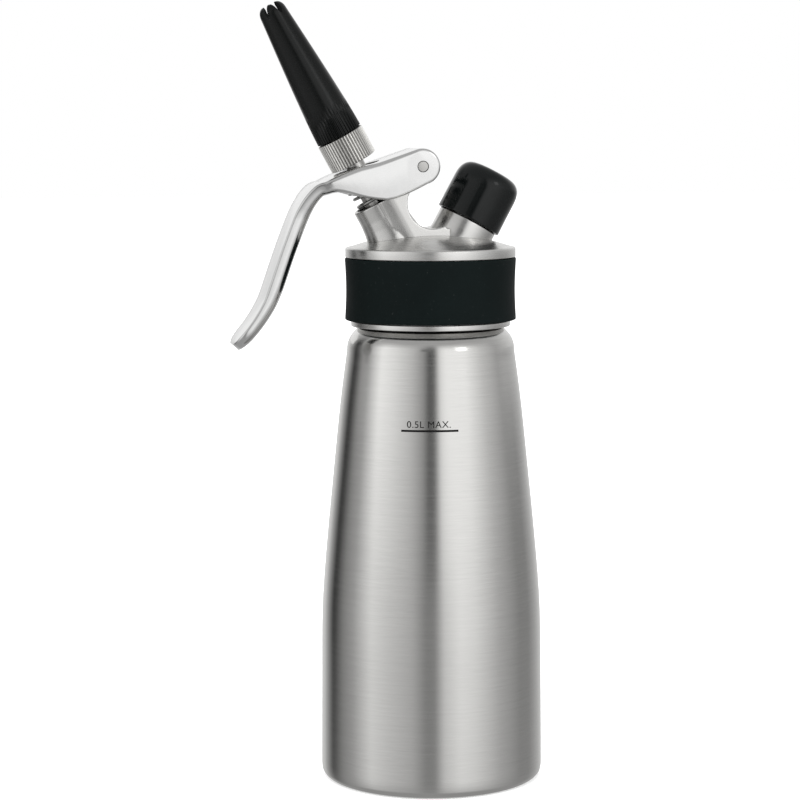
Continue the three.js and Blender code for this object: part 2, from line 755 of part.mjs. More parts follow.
// Stem clip: an open snap ring in its groove over the spring cap.
function stemClip() {
  const inner = stemNeckRadius - clipGroove + seatGap / 2;
  const bottom = springCapTop + seatGap;
  const body = solid(ring(inner, clipRadius, bottom, bottom + clipThickness));
  const gap = new THREE.BoxGeometry(clipRadius + overrun, stemNeckRadius, clipThickness + overrun);
  gap.translate((clipRadius + overrun) / 2, 0, bottom + clipThickness / 2);
  return geometryOf(body.subtract(solid(gap)));
}

// Spring cap: the flanged cup under the lever's pads that holds the spring down.
function springCap() {
  const inner = stemNeckRadius + slideGap;
  const skirt = springCapThickness / 2;
  const innerRing = springRadius - springWire / 2 - seatGap;
  return turned([
    [inner, springCapBottom],
    [innerRing, springCapBottom],
    [innerRing, springCapBottom + skirt / 2],
    [springCapRadius, springCapBottom + skirt / 2],
    [springCapRadius, springCapTop - skirt / 2],
    [springCapRadius - skirt / 2, springCapTop],
    [inner, springCapTop],
  ]);
}

// Valve spring: a compression spring with its end turns laid flat.
class SpringCurve extends THREE.Curve {
  getPoint(share, target = new THREE.Vector3()) {
    const low = springBottom + springWire / 2;
    const high = springTop + springCapThickness / 4 - springWire / 2;
    const ends = 1 / springTurns;
    const laid = ends * endTurnShare;
    const climb = THREE.MathUtils.clamp((share - laid) / (1 - 2 * laid), 0, 1);
    const angle = 2 * Math.PI * springTurns * share;
    const flat = springWire * coilLift;
    const settle = Math.min(share / ends, 1) * flat + Math.max(0, (share - 1) / ends + 1) * flat;
    const height = low + settle + climb * (high - low - 2 * flat);
    return target.set(springRadius * Math.cos(angle), springRadius * Math.sin(angle), height);
  }
}

function valveSpring() {
  const section = new THREE.Shape();
  section.absarc(0, 0, springWire / 2, 0, 2 * Math.PI, false);
  return new THREE.ExtrudeGeometry(section, {
    steps: Math.round(springTurns * coilSteps),
    extrudePath: new SpringCurve(),
    curveSegments: arcSteps,
  });
}

// Stem guide: the flanged bush that centres the stem and carries the spring.
function stemGuide() {
  const inner = stemRadius + slideGap;
  const flangeRadius = springPocketRadius - seatGap;
  return turned([
    [inner, guideBottom],
    [guideRadius, guideBottom],
    [guideRadius, guideTop - guideFlange],
    [flangeRadius, guideTop - guideFlange],
    [flangeRadius, guideTop],
    [inner, guideTop],
  ]);
}

// Stem seal: a round ring in a groove of the stem.
function stemSeal(level) {
  const middle = sealBoreRadius - seatGap - stemSealSection;
  const section = arc(middle, level, stemSealSection, stemSealSection, 0, 360, sectionSteps).slice(1);
  return turned(section, smallSteps);
}

// Valve seal: the soft washer that shuts on the housing's lower edge.
function valveSeal() {
  const bottom = valveSealTop - valveSealThickness;
  return ring(stemSpigotRadius + slideGap, valveSealRadius, bottom, valveSealTop);
}

// Seal nut: a domed nut that holds the valve seal on the stem.
function sealNut() {
  const bottom = sealNutTop - sealNutHeight;
  const body = solid(
    turned([
      [0, bottom - sealNutHeight * sealNutShares.dome],
      [sealNutRadius * sealNutShares.face, bottom],
      [sealNutRadius, bottom + sealNutHeight * sealNutShares.edge],
      [sealNutRadius, sealNutTop],
      [0, sealNutTop],
    ]),
  );
  const bore = ring(0, stemSpigotRadius + slideGap, bottom, sealNutTop + overrun, smallSteps);
  return geometryOf(body.subtract(solid(bore)));
}

// A toothed sleeve: a cylinder whose sides are drawn in to valleys between its teeth.
function toothedSleeve(bottomRadius, topRadius, height, teeth, depth, sides) {
  const sleeve = new THREE.CylinderGeometry(topRadius, bottomRadius, height, teeth * sides, 1);
  const place = sleeve.attributes.position;
  const turn = (2 * Math.PI) / teeth;
  for (let i = 0; i < place.count; i += 1) {
    const radius = Math.hypot(place.getX(i), place.getZ(i));
    if (radius > depth) {
      const angle = Math.atan2(place.getX(i), place.getZ(i)) + 2 * Math.PI;
      const valley = Math.round((angle / turn) * sides) % sides >= sides / 2;
      const scale = valley ? (radius - depth) / radius : 1;
      place.setXYZ(i, place.getX(i) * scale, place.getY(i), place.getZ(i) * scale);
    }
  }
  return sleeve.rotateX(Math.PI / 2);
}

// Nozzle adapter: a knurled nut with a spigot that is pressed into the nozzle.
function nozzleAdapter() {
  const knurl = adapterHeight - 2 * adapterRim;
  const plain = adapterRadius - knurlDepth;
  const teeth = toothedSleeve(adapterRadius, adapterRadius, knurl, knurlTeeth, knurlDepth, 2);
  teeth.translate(0, 0, adapterBottom + adapterHeight / 2);
  const body = turned([
    [0, adapterBottom],
    [plain - adapterRim, adapterBottom],
    [plain, adapterBottom + adapterRim],
    [plain, adapterTop],
    [adapterSpigotRadius, adapterTop],
    [adapterSpigotRadius, adapterTop + adapterSpigotHeight],
    [0, adapterTop + adapterSpigotHeight],
  ]);
  const bores = turned([
    [0, adapterBottom - overrun],
    [stemNeckRadius + slideGap, adapterBottom - overrun],
    [stemNeckRadius + slideGap, socketFloor],
    [adapterBoreRadius, socketFloor],
    [adapterBoreRadius, adapterTop + adapterSpigotHeight + overrun],
    [0, adapterTop + adapterSpigotHeight + overrun],
  ], smallSteps);
  return geometryOf(solid(body).add(solid(teeth)).subtract(solid(bores)));
}

// Adapter washer: a flat seal between the stem's end and the floor of the adapter's socket.
function adapterWasher() {
  return ring(stemBoreRadius, stemNeckRadius, stemTop + seatGap, socketFloor - seatGap, smallSteps);
}

// The nozzle's outside radius at a height: its side bows in from the straight foot to the slim tip.
function nozzleRadiusAt(height) {
  const open = 1 - 2 * nozzleBowShare;
  const root = Math.sqrt(nozzleBowShare ** 2 + (open * height) / nozzleLength);
  return nozzleBaseRadius - (nozzleBaseRadius - nozzleTipRadius) * ((root - nozzleBowShare) / open) ** 2;
}

// The nozzle's foot, with flutes as deep as a straight cut leaves them, which run out up the side.
function flutedFoot() {
  const valley = nozzleBaseRadius - ribDepth;
  const levels = ribLevelShares.map((share) => ribLength * share);
  const foot = turned(
    [
      [valley - ribDepth, 0],
      ...levels.map((height) => [nozzleRadiusAt(height), height]),
      [valley - ribDepth, ribLength],
    ],
    2 * ribCount,
  );
  const place = foot.attributes.position;
  for (let i = 0; i < place.count; i += 1) {
    const radius = Math.hypot(place.getX(i), place.getY(i));
    const step = Math.round((Math.atan2(place.getY(i), place.getX(i)) / Math.PI) * ribCount);
    if (step % 2 !== 0 && radius > valley) {
      const scale = valley / radius;
      place.setXYZ(i, place.getX(i) * scale, place.getY(i) * scale, place.getZ(i));
    }
  }
  return foot;
}

// Nozzle: a slim cone, fluted for the fingers at its foot, with a crown of petals at its rounded tip.
function nozzle() {
  const socketTop = adapterSpigotHeight + seatGap;
  const lipTop = socketTop + nozzleWall;
  const tip = nozzleLength;
  const domeFoot = tip - tipRounding;
  const domeRadius = nozzleRadiusAt(domeFoot);
  const domeReach = tipRounding * tipRoundingShare;
  const side = [];
  for (let i = 0; i < nozzleSteps; i += 1) {
    const height = ribLength + ((domeFoot - ribLength) * i) / nozzleSteps;
    side.push([nozzleRadiusAt(height) - (i === 0 ? weldSink : 0), height]);
  }
  const core = solid(
    turned([
      [adapterSpigotRadius + seatGap, 0],
      [nozzleBaseRadius - ribDepth - weldSink, 0],
      ...side,
      ...arc(domeRadius - domeReach, domeFoot, domeReach, tipRounding, 0, 90),
      [nozzleMouthRadius, tip],
      [nozzleTipRadius - nozzleWall, tip - petalSlot],
      [nozzleRadiusAt(tip / 2) - nozzleWall, tip / 2],
      [nozzleRadiusAt(lipTop) - nozzleWall - ribDepth, lipTop],
      [adapterSpigotRadius - nozzleWall, socketTop],
      [adapterSpigotRadius + seatGap, socketTop],
    ]),
  );
  const sleeve = solid(flutedFoot());
  let body = core.add(sleeve);
  const half = petalSlotWidth / 2;
  const notch = [[-half, tip + seatGap], [0, tip - petalSlot], [half, tip + seatGap]];
  for (let i = 0; i < petalPairs; i += 1) {
    const cut = sidePlate(notch, 2 * nozzleBaseRadius).rotateZ((Math.PI * i) / petalPairs);
    body = body.subtract(solid(cut));
  }
  return geometryOf(body).translate(0, 0, nozzleBottom);
}

// Charger boss: the threaded boss that takes the charger's holder, with the gas inlet down its middle.
function chargerBoss() {
  const outer = solid(turned(bossProfile(0))).subtract(plateTrim(bossFrame));
  const shank = ring(0, bossShankRadius, -bossShankDrop, bossShoulder / 2);
  const bores = turned(
    [
      [0, -bossShankDrop - overrun],
      [gasPortRadius, -bossShankDrop - overrun],
      [gasPortRadius, checkBottom - seatGap],
      [checkRadius + seatGap, checkBottom - seatGap],
      [checkRadius + seatGap, boreFloor],
      [plugRadius + seatGap, boreFloor],
      [plugRadius + seatGap, socketBottom],
      [socketRadius, socketBottom],
      [socketRadius, bossTop - bossFlare],
      [socketRadius + bossFlare, bossTop],
      [socketRadius + bossFlare, bossTop + overrun],
      [0, bossTop + overrun],
    ],
    smallSteps,
  );
  return geometryOf(outer.add(solid(shank)).subtract(solid(bores)));
}

// Piercing pin: a hollow needle on a small flange, held down by its plug.
function piercingPin() {
  const top = needleFlangeBottom + needleLength + needleFlange;
  const bevel = 2 * needleRadius;
  return turned(
    [
      [needleBore, needleFlangeBottom],
      [needleFlangeRadius, needleFlangeBottom],
      [needleFlangeRadius, needleFlangeBottom + needleFlange],
      [needleRadius, needleFlangeBottom + needleFlange],
      [needleRadius, top - bevel],
      [needleBore + weldSink, top],
      [needleBore, top - weldSink],
    ],
    needleSteps,
  );
}

// Piercer plug: the slotted, threaded ring that holds the piercing pin.
function piercerPlug() {
  const body = solid(ring(needleRadius + slideGap, plugRadius, plugBottom, plugTop, smallSteps));
  const cut = new THREE.BoxGeometry(2 * (plugRadius + overrun), plugSlotWidth, 2 * plugSlotDepth);
  return geometryOf(body.subtract(solid(cut.translate(0, 0, plugTop))));
}

// Charger washer: the soft seal that the charger's neck is pressed against.
function chargerWasher() {
  const bottom = socketBottom + seatGap;
  const outer = socketRadius - seatGap;
  return ring(needleRadius + slideGap, outer, bottom, bottom + chargerWasherThickness, smallSteps);
}

// Gas check valve: a soft plug with a lip, which lets gas in and keeps it from coming back.
function gasCheckValve() {
  const top = boreFloor - seatGap;
  const waist = checkRadius * checkWaistShare;
  const length = top - checkBottom;
  const [lipTop, waistTop, endEdge] = checkLevelShares.map((share) => checkBottom + length * share);
  return turned(
    [
      [0, checkBottom],
      [checkRadius, checkBottom],
      [checkRadius, lipTop],
      [waist, waistTop],
      [waist, endEdge],
      [0, top],
    ],
    smallSteps,
  );
}

// Protective cap: a soft cup pushed over the boss's thread.
function protectiveCap() {
  const corner = capCornerRadius;
  const inner = corner - capWall;
  return turned([
    [capRimRadius, capBottom],
    ...arc(capTopRadius - corner, capTop - corner, corner, corner, 0, 90),
    [0, capTop],
    [0, capTop - capWall],
    ...arc(capTopRadius - corner, capTop - corner, inner, inner, 90, 0),
    [capRimRadius - capWall, capBottom],
  ]);
}

// Every piece as a named mesh with its own finish
function piece(name, geometry, finish) {
  const mesh = new THREE.Mesh(geometry, new THREE.MeshStandardMaterial(finish));
  mesh.name = name;
  return mesh;
}

const dispenser = new THREE.Group();
dispenser.add(
  piece("bottle", bottle(), brushedSteel),
  piece("head_cap", headCap(), brushedSteel),
  piece("grip_band", gripBand(), matteRubber),
  piece("head_gasket", headGasket(), paleSilicone),
  valveFrame,
  bossFrame,
);
valveFrame.add(
  piece("valve_block", valveBlock(), brushedSteel),
  piece("lever", lever(), polishedSteel),
  piece("lever_pin", leverPin(), turnedSteel),
  piece("valve_stem", valveStem(), turnedSteel),
  piece("stem_clip", stemClip(), springSteel),
  piece("spring_cap", springCap(), turnedSteel),
  piece("valve_spring", valveSpring(), springSteel),
  piece("stem_guide", stemGuide(), whitePlastic),
  piece("stem_seal_lower", stemSeal(lowerSealLevel), darkRubber),
  piece("stem_seal_upper", stemSeal(upperSealLevel), darkRubber),
  piece("valve_seal", valveSeal(), darkRubber),
  piece("seal_nut", sealNut(), turnedSteel),
  piece("nozzle_adapter", nozzleAdapter(), turnedSteel),
  piece("adapter_washer", adapterWasher(), paleSilicone),
  piece("nozzle", nozzle(), satinBlack),
);
bossFrame.add(
  piece("charger_boss", chargerBoss(), brushedSteel),
  piece("piercing_pin", piercingPin(), turnedSteel),
  piece("piercer_plug", piercerPlug(), brass),
  piece("charger_washer", chargerWasher(), darkRubber),
  piece("gas_check_valve", gasCheckValve(), darkRubber),
  piece("protective_cap", protectiveCap(), glossBlack),
);

export default dispenser;
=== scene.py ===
"""A half litre whipped cream dispenser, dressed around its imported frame.

Sizes are in millimetres and are turned into metres as meshes are made. The bottle's axis is Z. The valve and
the charger boss stand on two leaning axes, and their pieces are drawn upright and then leant over.
"""

import logging
import math
from collections.abc import Callable, Sequence
from dataclasses import dataclass, field
from enum import Enum

import bpy
from mathutils import Matrix, Vector


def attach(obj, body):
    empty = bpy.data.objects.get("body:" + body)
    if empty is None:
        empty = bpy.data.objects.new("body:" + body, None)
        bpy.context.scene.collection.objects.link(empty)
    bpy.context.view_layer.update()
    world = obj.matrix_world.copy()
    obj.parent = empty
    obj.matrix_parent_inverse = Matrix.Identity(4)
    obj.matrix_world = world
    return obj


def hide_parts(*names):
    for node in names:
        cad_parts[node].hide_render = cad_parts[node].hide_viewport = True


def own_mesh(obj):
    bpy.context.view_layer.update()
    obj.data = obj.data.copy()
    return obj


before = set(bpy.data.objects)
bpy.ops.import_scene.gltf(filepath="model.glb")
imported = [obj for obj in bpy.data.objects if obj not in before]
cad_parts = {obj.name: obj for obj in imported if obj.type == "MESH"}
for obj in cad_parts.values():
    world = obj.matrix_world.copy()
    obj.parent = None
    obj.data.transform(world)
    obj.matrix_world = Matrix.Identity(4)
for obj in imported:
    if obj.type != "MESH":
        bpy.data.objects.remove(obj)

LOG = logging.getLogger("dispenser")
Outline = list[tuple[float, float]]
Colour = tuple[float, float, float]
MM = 0.001

# In millimetres: corners nearer than this are merged, a tool's least overrun, a test's slack, a seam's room.
MERGE_MM = 0.002
HAIR_MM = 0.01
SLACK_MM = 0.05
SEAM_MM = 0.03


class Slot(Enum):
    """The record's material slots, named for the modelled pieces but not given to them."""

    BODY = "brushed_steel_body"
    HEAD = "brushed_steel_head"
    LEVER = "polished_lever"
    TURNED = "turned_steel"
    SPRING = "spring_steel"
    BAND = "band_rubber"
    SILICONE = "pale_silicone"
    RUBBER = "black_rubber"
    NOZZLE = "nozzle_plastic"
    CAP = "cap_vinyl"


class Body(Enum):
    """The moving bodies that the modelled pieces ride on."""

    BOTTLE = "bottle"
    GASKET = "gasket"
    HEAD = "head"
    LEVER = "lever"
    STEM = "stem"
    NOZZLE = "nozzle"
    CAP = "cap"


class Joining(Enum):
    """What a tool does to the piece that it meets."""

    CUT = "DIFFERENCE"
    ADD = "UNION"
    KEEP = "INTERSECT"


@dataclass(frozen=True)
class Leaning:
    """An axis that leans in the XZ plane, from a foot in millimetres."""

    foot_x: float
    foot_z: float
    tilt_degrees: float

    def matrix(self) -> Matrix:
        """The turn and move from the upright drawing to the leaning place, in metres."""
        foot = Matrix.Translation(Vector((self.foot_x, 0, self.foot_z)) * MM)
        return foot @ Matrix.Rotation(math.radians(self.tilt_degrees), 4, "Y")


PLATE_TOP = 196.7
UPRIGHT = Leaning(0, 0, 0)
VALVE = Leaning(-11.37, PLATE_TOP, -28.5)
BOSS = Leaning(8.86, PLATE_TOP, 28.4)

# The lever's pin: its (x, z) in the valve's upright drawing, and its radius.
PIVOT = (19.6, 23.2)
PIN_RADIUS = 1.95

# The thread between bottle and head.
NECK_PITCH = 4.0
NECK_RIDGE = 0.8


class Bench:
    """Ways of making and changing meshes, each a few of Blender's own operators."""

    @staticmethod
    def pick(*objects: bpy.types.Object) -> None:
        """Selects these objects alone, with the first of them active.

        Args:
            objects: The objects.
        """
        bpy.ops.object.select_all(action="DESELECT")
        for obj in objects:
            obj.select_set(True)
        bpy.context.view_layer.objects.active = objects[0]

    @staticmethod
    def chain(name: str, points: Sequence[Vector]) -> bpy.types.Object:
        """Draws a chain of edges, extruded corner by corner from a plane merged into one.

        Args:
            name: The new object's name.
            points: The chain's corners in metres. A last one on the first closes the chain.

        Returns:
            The object, in edit mode with all selected.
        """
        bpy.ops.object.select_all(action="DESELECT")
        bpy.ops.mesh.primitive_plane_add(size=MM)
        obj = bpy.context.object
        obj.name = name
        bpy.ops.object.mode_set(mode="EDIT")
        bpy.ops.mesh.select_mode(type="VERT")
        bpy.ops.mesh.select_all(action="SELECT")
        bpy.ops.mesh.merge(type="CENTER")
        bpy.ops.transform.translate(value=points[0])
        for start, end in zip(points, points[1:]):
            bpy.ops.mesh.extrude_vertices_move(TRANSFORM_OT_translate={"value": end - start})
        bpy.ops.mesh.select_all(action="SELECT")
        bpy.ops.mesh.remove_doubles(threshold=MERGE_MM * MM)
        return obj

    @staticmethod
    def turned(name: str, outline: Outline, steps: int, ring: bool = False,
               leaning: Leaning = UPRIGHT) -> bpy.types.Object:
        """Spins an outline of (radius, height) corners in millimetres about an axis.

        Args:
            name: The new object's name.
            outline: The corners. Without ring, both ends stand on the axis.
            steps: Faces round the axis.
            ring: Whether the outline closes on itself.
            leaning: The axis.

        Returns:
            The closed piece.
        """
        corners = [Vector((r, 0, z)) * MM for r, z in outline]
        if ring:
            corners.append(corners[0])
        obj = Bench.chain(name, corners)
        bpy.ops.mesh.spin(steps=steps, angle=math.tau, center=(0, 0, 0), axis=(0, 0, 1))
        Bench.close()
        bpy.ops.object.mode_set(mode="OBJECT")
        if leaning != UPRIGHT:
            Bench.lean(obj, leaning)
        return obj

    @staticmethod
    def pillar(name: str, radius: float, low: float, high: float, steps: int = 64,
               leaning: Leaning = UPRIGHT) -> bpy.types.Object:
        """Spins a plain round bar between two heights on an axis."""
        outline = [(0, low), (radius, low), (radius, high), (0, high)]
        return Bench.turned(name, outline, steps, leaning=leaning)

    @staticmethod
    def close() -> None:
        """Merges doubles in edit mode and points all faces outwards."""
        bpy.ops.mesh.select_all(action="SELECT")
        bpy.ops.mesh.remove_doubles(threshold=MERGE_MM * MM)
        bpy.ops.mesh.normals_make_consistent(inside=False)

    @staticmethod
    def plate(name: str, outline: Outline, width: float) -> bpy.types.Object:
        """Fills an outline of (x, z) corners in millimetres and extrudes it along Y.

        Args:
            name: The new object's name.
            outline: The corners, in order round the plate.
            width: The plate's full width, half on each side of the XZ plane.

        Returns:
            The closed plate, drawn upright.
        """
        corners = [Vector((x, -width / 2, z)) * MM for x, z in outline]
        obj = Bench.chain(name, [*corners, corners[0]])
        bpy.ops.mesh.edge_face_add()
        bpy.ops.mesh.extrude_region_move(TRANSFORM_OT_translate={"value": Vector((0, width, 0)) * MM})
        Bench.close()
        bpy.ops.object.mode_set(mode="OBJECT")
        return obj

    @staticmethod
    def loft(name: str, loops: Sequence[Sequence[Vector]]) -> bpy.types.Object:
        """Bridges closed loops of as many corners each, and closes both ends.

        Args:
            name: The new object's name.
            loops: The loops' corners in metres, in order along the piece.

        Returns:
            The closed piece.
        """
        drawn = []
        for loop in loops:
            obj = Bench.chain(name, [*loop, loop[0]])
            bpy.ops.object.mode_set(mode="OBJECT")
            drawn.append(obj)
        Bench.pick(*drawn)
        bpy.ops.object.join()
        bpy.ops.object.mode_set(mode="EDIT")
        bpy.ops.mesh.select_mode(type="EDGE")
        bpy.ops.mesh.select_all(action="SELECT")
        bpy.ops.mesh.bridge_edge_loops()
        bpy.ops.mesh.select_all(action="SELECT")
        bpy.ops.mesh.fill_holes(sides=0)
        Bench.close()
        bpy.ops.object.mode_set(mode="OBJECT")
        return drawn[0]

    @staticmethod
    def rod(name: str, radius: float, length: float, place: Sequence[float],
            steps: int = 64) -> bpy.types.Object:
        """Adds a round bar along Y.

        Args:
            name: The new object's name.
            radius: Its radius in millimetres.
            length: Its length, half on each side of the XZ plane.
            place: Its (x, z).
            steps: Faces round it.

        Returns:
            The bar.
        """
        bpy.ops.object.select_all(action="DESELECT")
        bpy.ops.mesh.primitive_cylinder_add(
            vertices=steps, radius=radius * MM, depth=length * MM,
            location=Vector((place[0], 0, place[1])) * MM, rotation=(math.pi / 2, 0, 0))
        obj = bpy.context.object
        obj.name = name
        Bench.settle(obj)
        return obj

    @staticmethod
    def block(name: str, low: Sequence[float], high: Sequence[float]) -> bpy.types.Object:
        """Adds a box, as stock for cuts and joins.

        Args:
            name: The new object's name.
            low: Its lowest corner in millimetres.
            high: Its highest corner.

        Returns:
            The box.
        """
        bpy.ops.object.select_all(action="DESELECT")
        bpy.ops.mesh.primitive_cube_add(size=1)
        obj = bpy.context.object
        obj.name = name
        lowest, highest = Vector(low) * MM, Vector(high) * MM
        obj.scale = highest - lowest
        obj.location = (lowest + highest) / 2
        Bench.settle(obj)
        return obj

    @staticmethod
    def settle(obj: bpy.types.Object) -> None:
        """Puts the object's place, turn and scale into its mesh."""
        Bench.pick(obj)
        bpy.ops.object.transform_apply(location=True, rotation=True, scale=True)

    @staticmethod
    def shift(obj: bpy.types.Object, x: float = 0, y: float = 0, z: float = 0) -> None:
        """Moves a drawing by millimetres."""
        obj.location = Vector((x, y, z)) * MM
        Bench.settle(obj)

    @staticmethod
    def lean(obj: bpy.types.Object, leaning: Leaning, back: bool = False) -> None:
        """Moves an upright drawing to its leaning place, or a leaning one back.

        Args:
            obj: The drawing.
            leaning: The axis that it belongs to.
            back: Whether it goes from the leaning place to the upright one.
        """
        matrix = leaning.matrix()
        obj.matrix_world = matrix.inverted() if back else matrix
        Bench.settle(obj)

    @staticmethod
    def modify(obj: bpy.types.Object, kind: str, **settings: object) -> None:
        """Adds a modifier and applies it.

        Args:
            obj: The object that it changes.
            kind: The modifier's type.
            settings: Its settings.
        """
        Bench.pick(obj)
        modifier = obj.modifiers.new(kind.title(), kind)
        for key, value in settings.items():
            setattr(modifier, key, value)
        bpy.ops.object.modifier_apply(modifier=modifier.name)

    @staticmethod
    def combine(obj: bpy.types.Object, tool: bpy.types.Object, joining: Joining = Joining.CUT) -> None:
        """Cuts the object with a tool, joins them or keeps what they share, and removes the tool."""
        Bench.modify(obj, "BOOLEAN", object=tool, operation=joining.value, solver="EXACT")
        bpy.data.objects.remove(tool)

    @staticmethod
    def cast(obj: bpy.types.Object, voxel: float, rounds: int) -> None:
        """Turns joined shapes into one casting: a mesh of a grain in millimetres, smoothed in rounds."""
        Bench.modify(obj, "REMESH", mode="VOXEL", voxel_size=voxel * MM)
        Bench.modify(obj, "SMOOTH", factor=0.5, iterations=rounds)

    @staticmethod
    def smooth(obj: bpy.types.Object, degrees: float) -> None:
        """Shades the object smooth, with edges over an angle kept sharp."""
        Bench.pick(obj)
        bpy.ops.object.shade_smooth_by_angle(angle=math.radians(degrees))

    @staticmethod
    def corners_where(obj: bpy.types.Object, test: Callable[[Vector], bool]) -> None:
        """Enters edit mode with only some of the corners selected.

        Args:
            obj: The object.
            test: Says of a corner's place in millimetres whether it is selected.
        """
        Bench.pick(obj)
        bpy.ops.object.mode_set(mode="EDIT")
        bpy.ops.mesh.select_mode(type="VERT")
        bpy.ops.mesh.select_all(action="DESELECT")
        bpy.ops.object.mode_set(mode="OBJECT")
        for vertex in obj.data.vertices:
            vertex.select = test(vertex.co / MM)
        bpy.ops.object.mode_set(mode="EDIT")


def eased(corners: Sequence[Sequence[float]], ring: bool = False, steps: int = 4) -> Outline:
    """Rounds the corners of an outline.

    Args:
        corners: (x, y) or (x, y, setback): a setback is where the rounding starts, measured along both sides.
        ring: Whether the outline closes on itself.
        steps: Edges in each rounding.

    Returns:
        The outline's points.
    """
    points: Outline = []
    for i, corner in enumerate(corners):
        place = Vector(corner[:2])
        setback = corner[2] if len(corner) > 2 else 0
        if not setback or (not ring and i in (0, len(corners) - 1)):
            points.append((place.x, place.y))
            continue
        before = Vector(corners[i - 1][:2]) - place
        after = Vector(corners[(i + 1) % len(corners)][:2]) - place
        start = place + before.normalized() * min(setback, before.length / 2)
        end = place + after.normalized() * min(setback, after.length / 2)
        for j in range(steps + 1):
            t = j / steps
            point = start * (1 - t) ** 2 + place * (2 * t * (1 - t)) + end * t ** 2
            points.append((point.x, point.y))
    return points


def flowing(knots: Outline, steps: int) -> Outline:
    """Draws a smooth curve through knots.

    Args:
        knots: The points that the curve passes through.
        steps: Edges between two knots.

    Returns:
        The curve's points, the last knot among them.
    """
    ends = [knots[0], *knots, knots[-1]]
    points: Outline = []
    for a, b, c, d in zip(ends, ends[1:], ends[2:], ends[3:]):
        p, q, r, s = Vector(a), Vector(b), Vector(c), Vector(d)
        for j in range(steps):
            t = j / steps
            point = 0.5 * (2 * q + (r - p) * t + (2 * p - 5 * q + 4 * r - s) * t ** 2
                           + (3 * q - p - 3 * r + s) * t ** 3)
            points.append((point.x, point.y))
    points.append(tuple(knots[-1]))
    return points


def level_at(line: Outline, x: float) -> float:
    """Reads a line's height.

    Args:
        line: The line's points, with x rising or falling all along.
        x: Where the height is read.

    Returns:
        The height.

    Raises:
        ValueError: If the line doesn't reach x.
    """
    for (left, low), (right, high) in zip(line, line[1:]):
        if min(left, right) <= x <= max(left, right):
            return low + (high - low) * (x - left) / (right - left)
    raise ValueError(f"{x} isn't on the line")


def between(first: float, second: float, share: float) -> float:
    """The number a share of the way from one to another."""
    return first + (second - first) * share


def progress(value: float, start: float, end: float) -> float:
    """How far a value has gone from a start to an end, held from 0 to 1."""
    return min(max((value - start) / (end - start), 0.0), 1.0)


def bow(x: float, y: float, radius: float, start: float, end: float, steps: int) -> Outline:
    """Points of an arc about a centre between two angles in degrees."""
    angles = [math.radians(start + (end - start) * i / steps) for i in range(steps + 1)]
    return [(x + radius * math.cos(a), y + radius * math.sin(a)) for a in angles]


class Value:
    """A socket on which sums are written as Python expressions. Each adds its Math node."""

    def __init__(self, sheet: "Sheet", socket: bpy.types.NodeSocket) -> None:
        """Wraps an output socket of a sheet's node."""
        self.sheet = sheet
        self.socket = socket

    def maths(self, operation: str, first: "Value | float", second: "Value | float") -> "Value":
        """Adds a Math node on two values or numbers."""
        return self.sheet.node("ShaderNodeMath", {"operation": operation}, {0: first, 1: second})

    def __add__(self, other: "Value | float") -> "Value":
        """The sum."""
        return self.maths("ADD", self, other)

    __radd__ = __add__

    def __sub__(self, other: "Value | float") -> "Value":
        """The difference."""
        return self.maths("SUBTRACT", self, other)

    def __rsub__(self, other: "Value | float") -> "Value":
        """The difference from a number."""
        return self.maths("SUBTRACT", other, self)

    def __mul__(self, other: "Value | float") -> "Value":
        """The product."""
        return self.maths("MULTIPLY", self, other)

    __rmul__ = __mul__

    def __truediv__(self, other: "Value | float") -> "Value":
        """The quotient."""
        return self.maths("DIVIDE", self, other)

    def __rtruediv__(self, other: "Value | float") -> "Value":
        """A number over this value."""
        return self.maths("DIVIDE", other, self)

    def __pow__(self, other: "Value | float") -> "Value":
        """The power."""
        return self.maths("POWER", self, other)


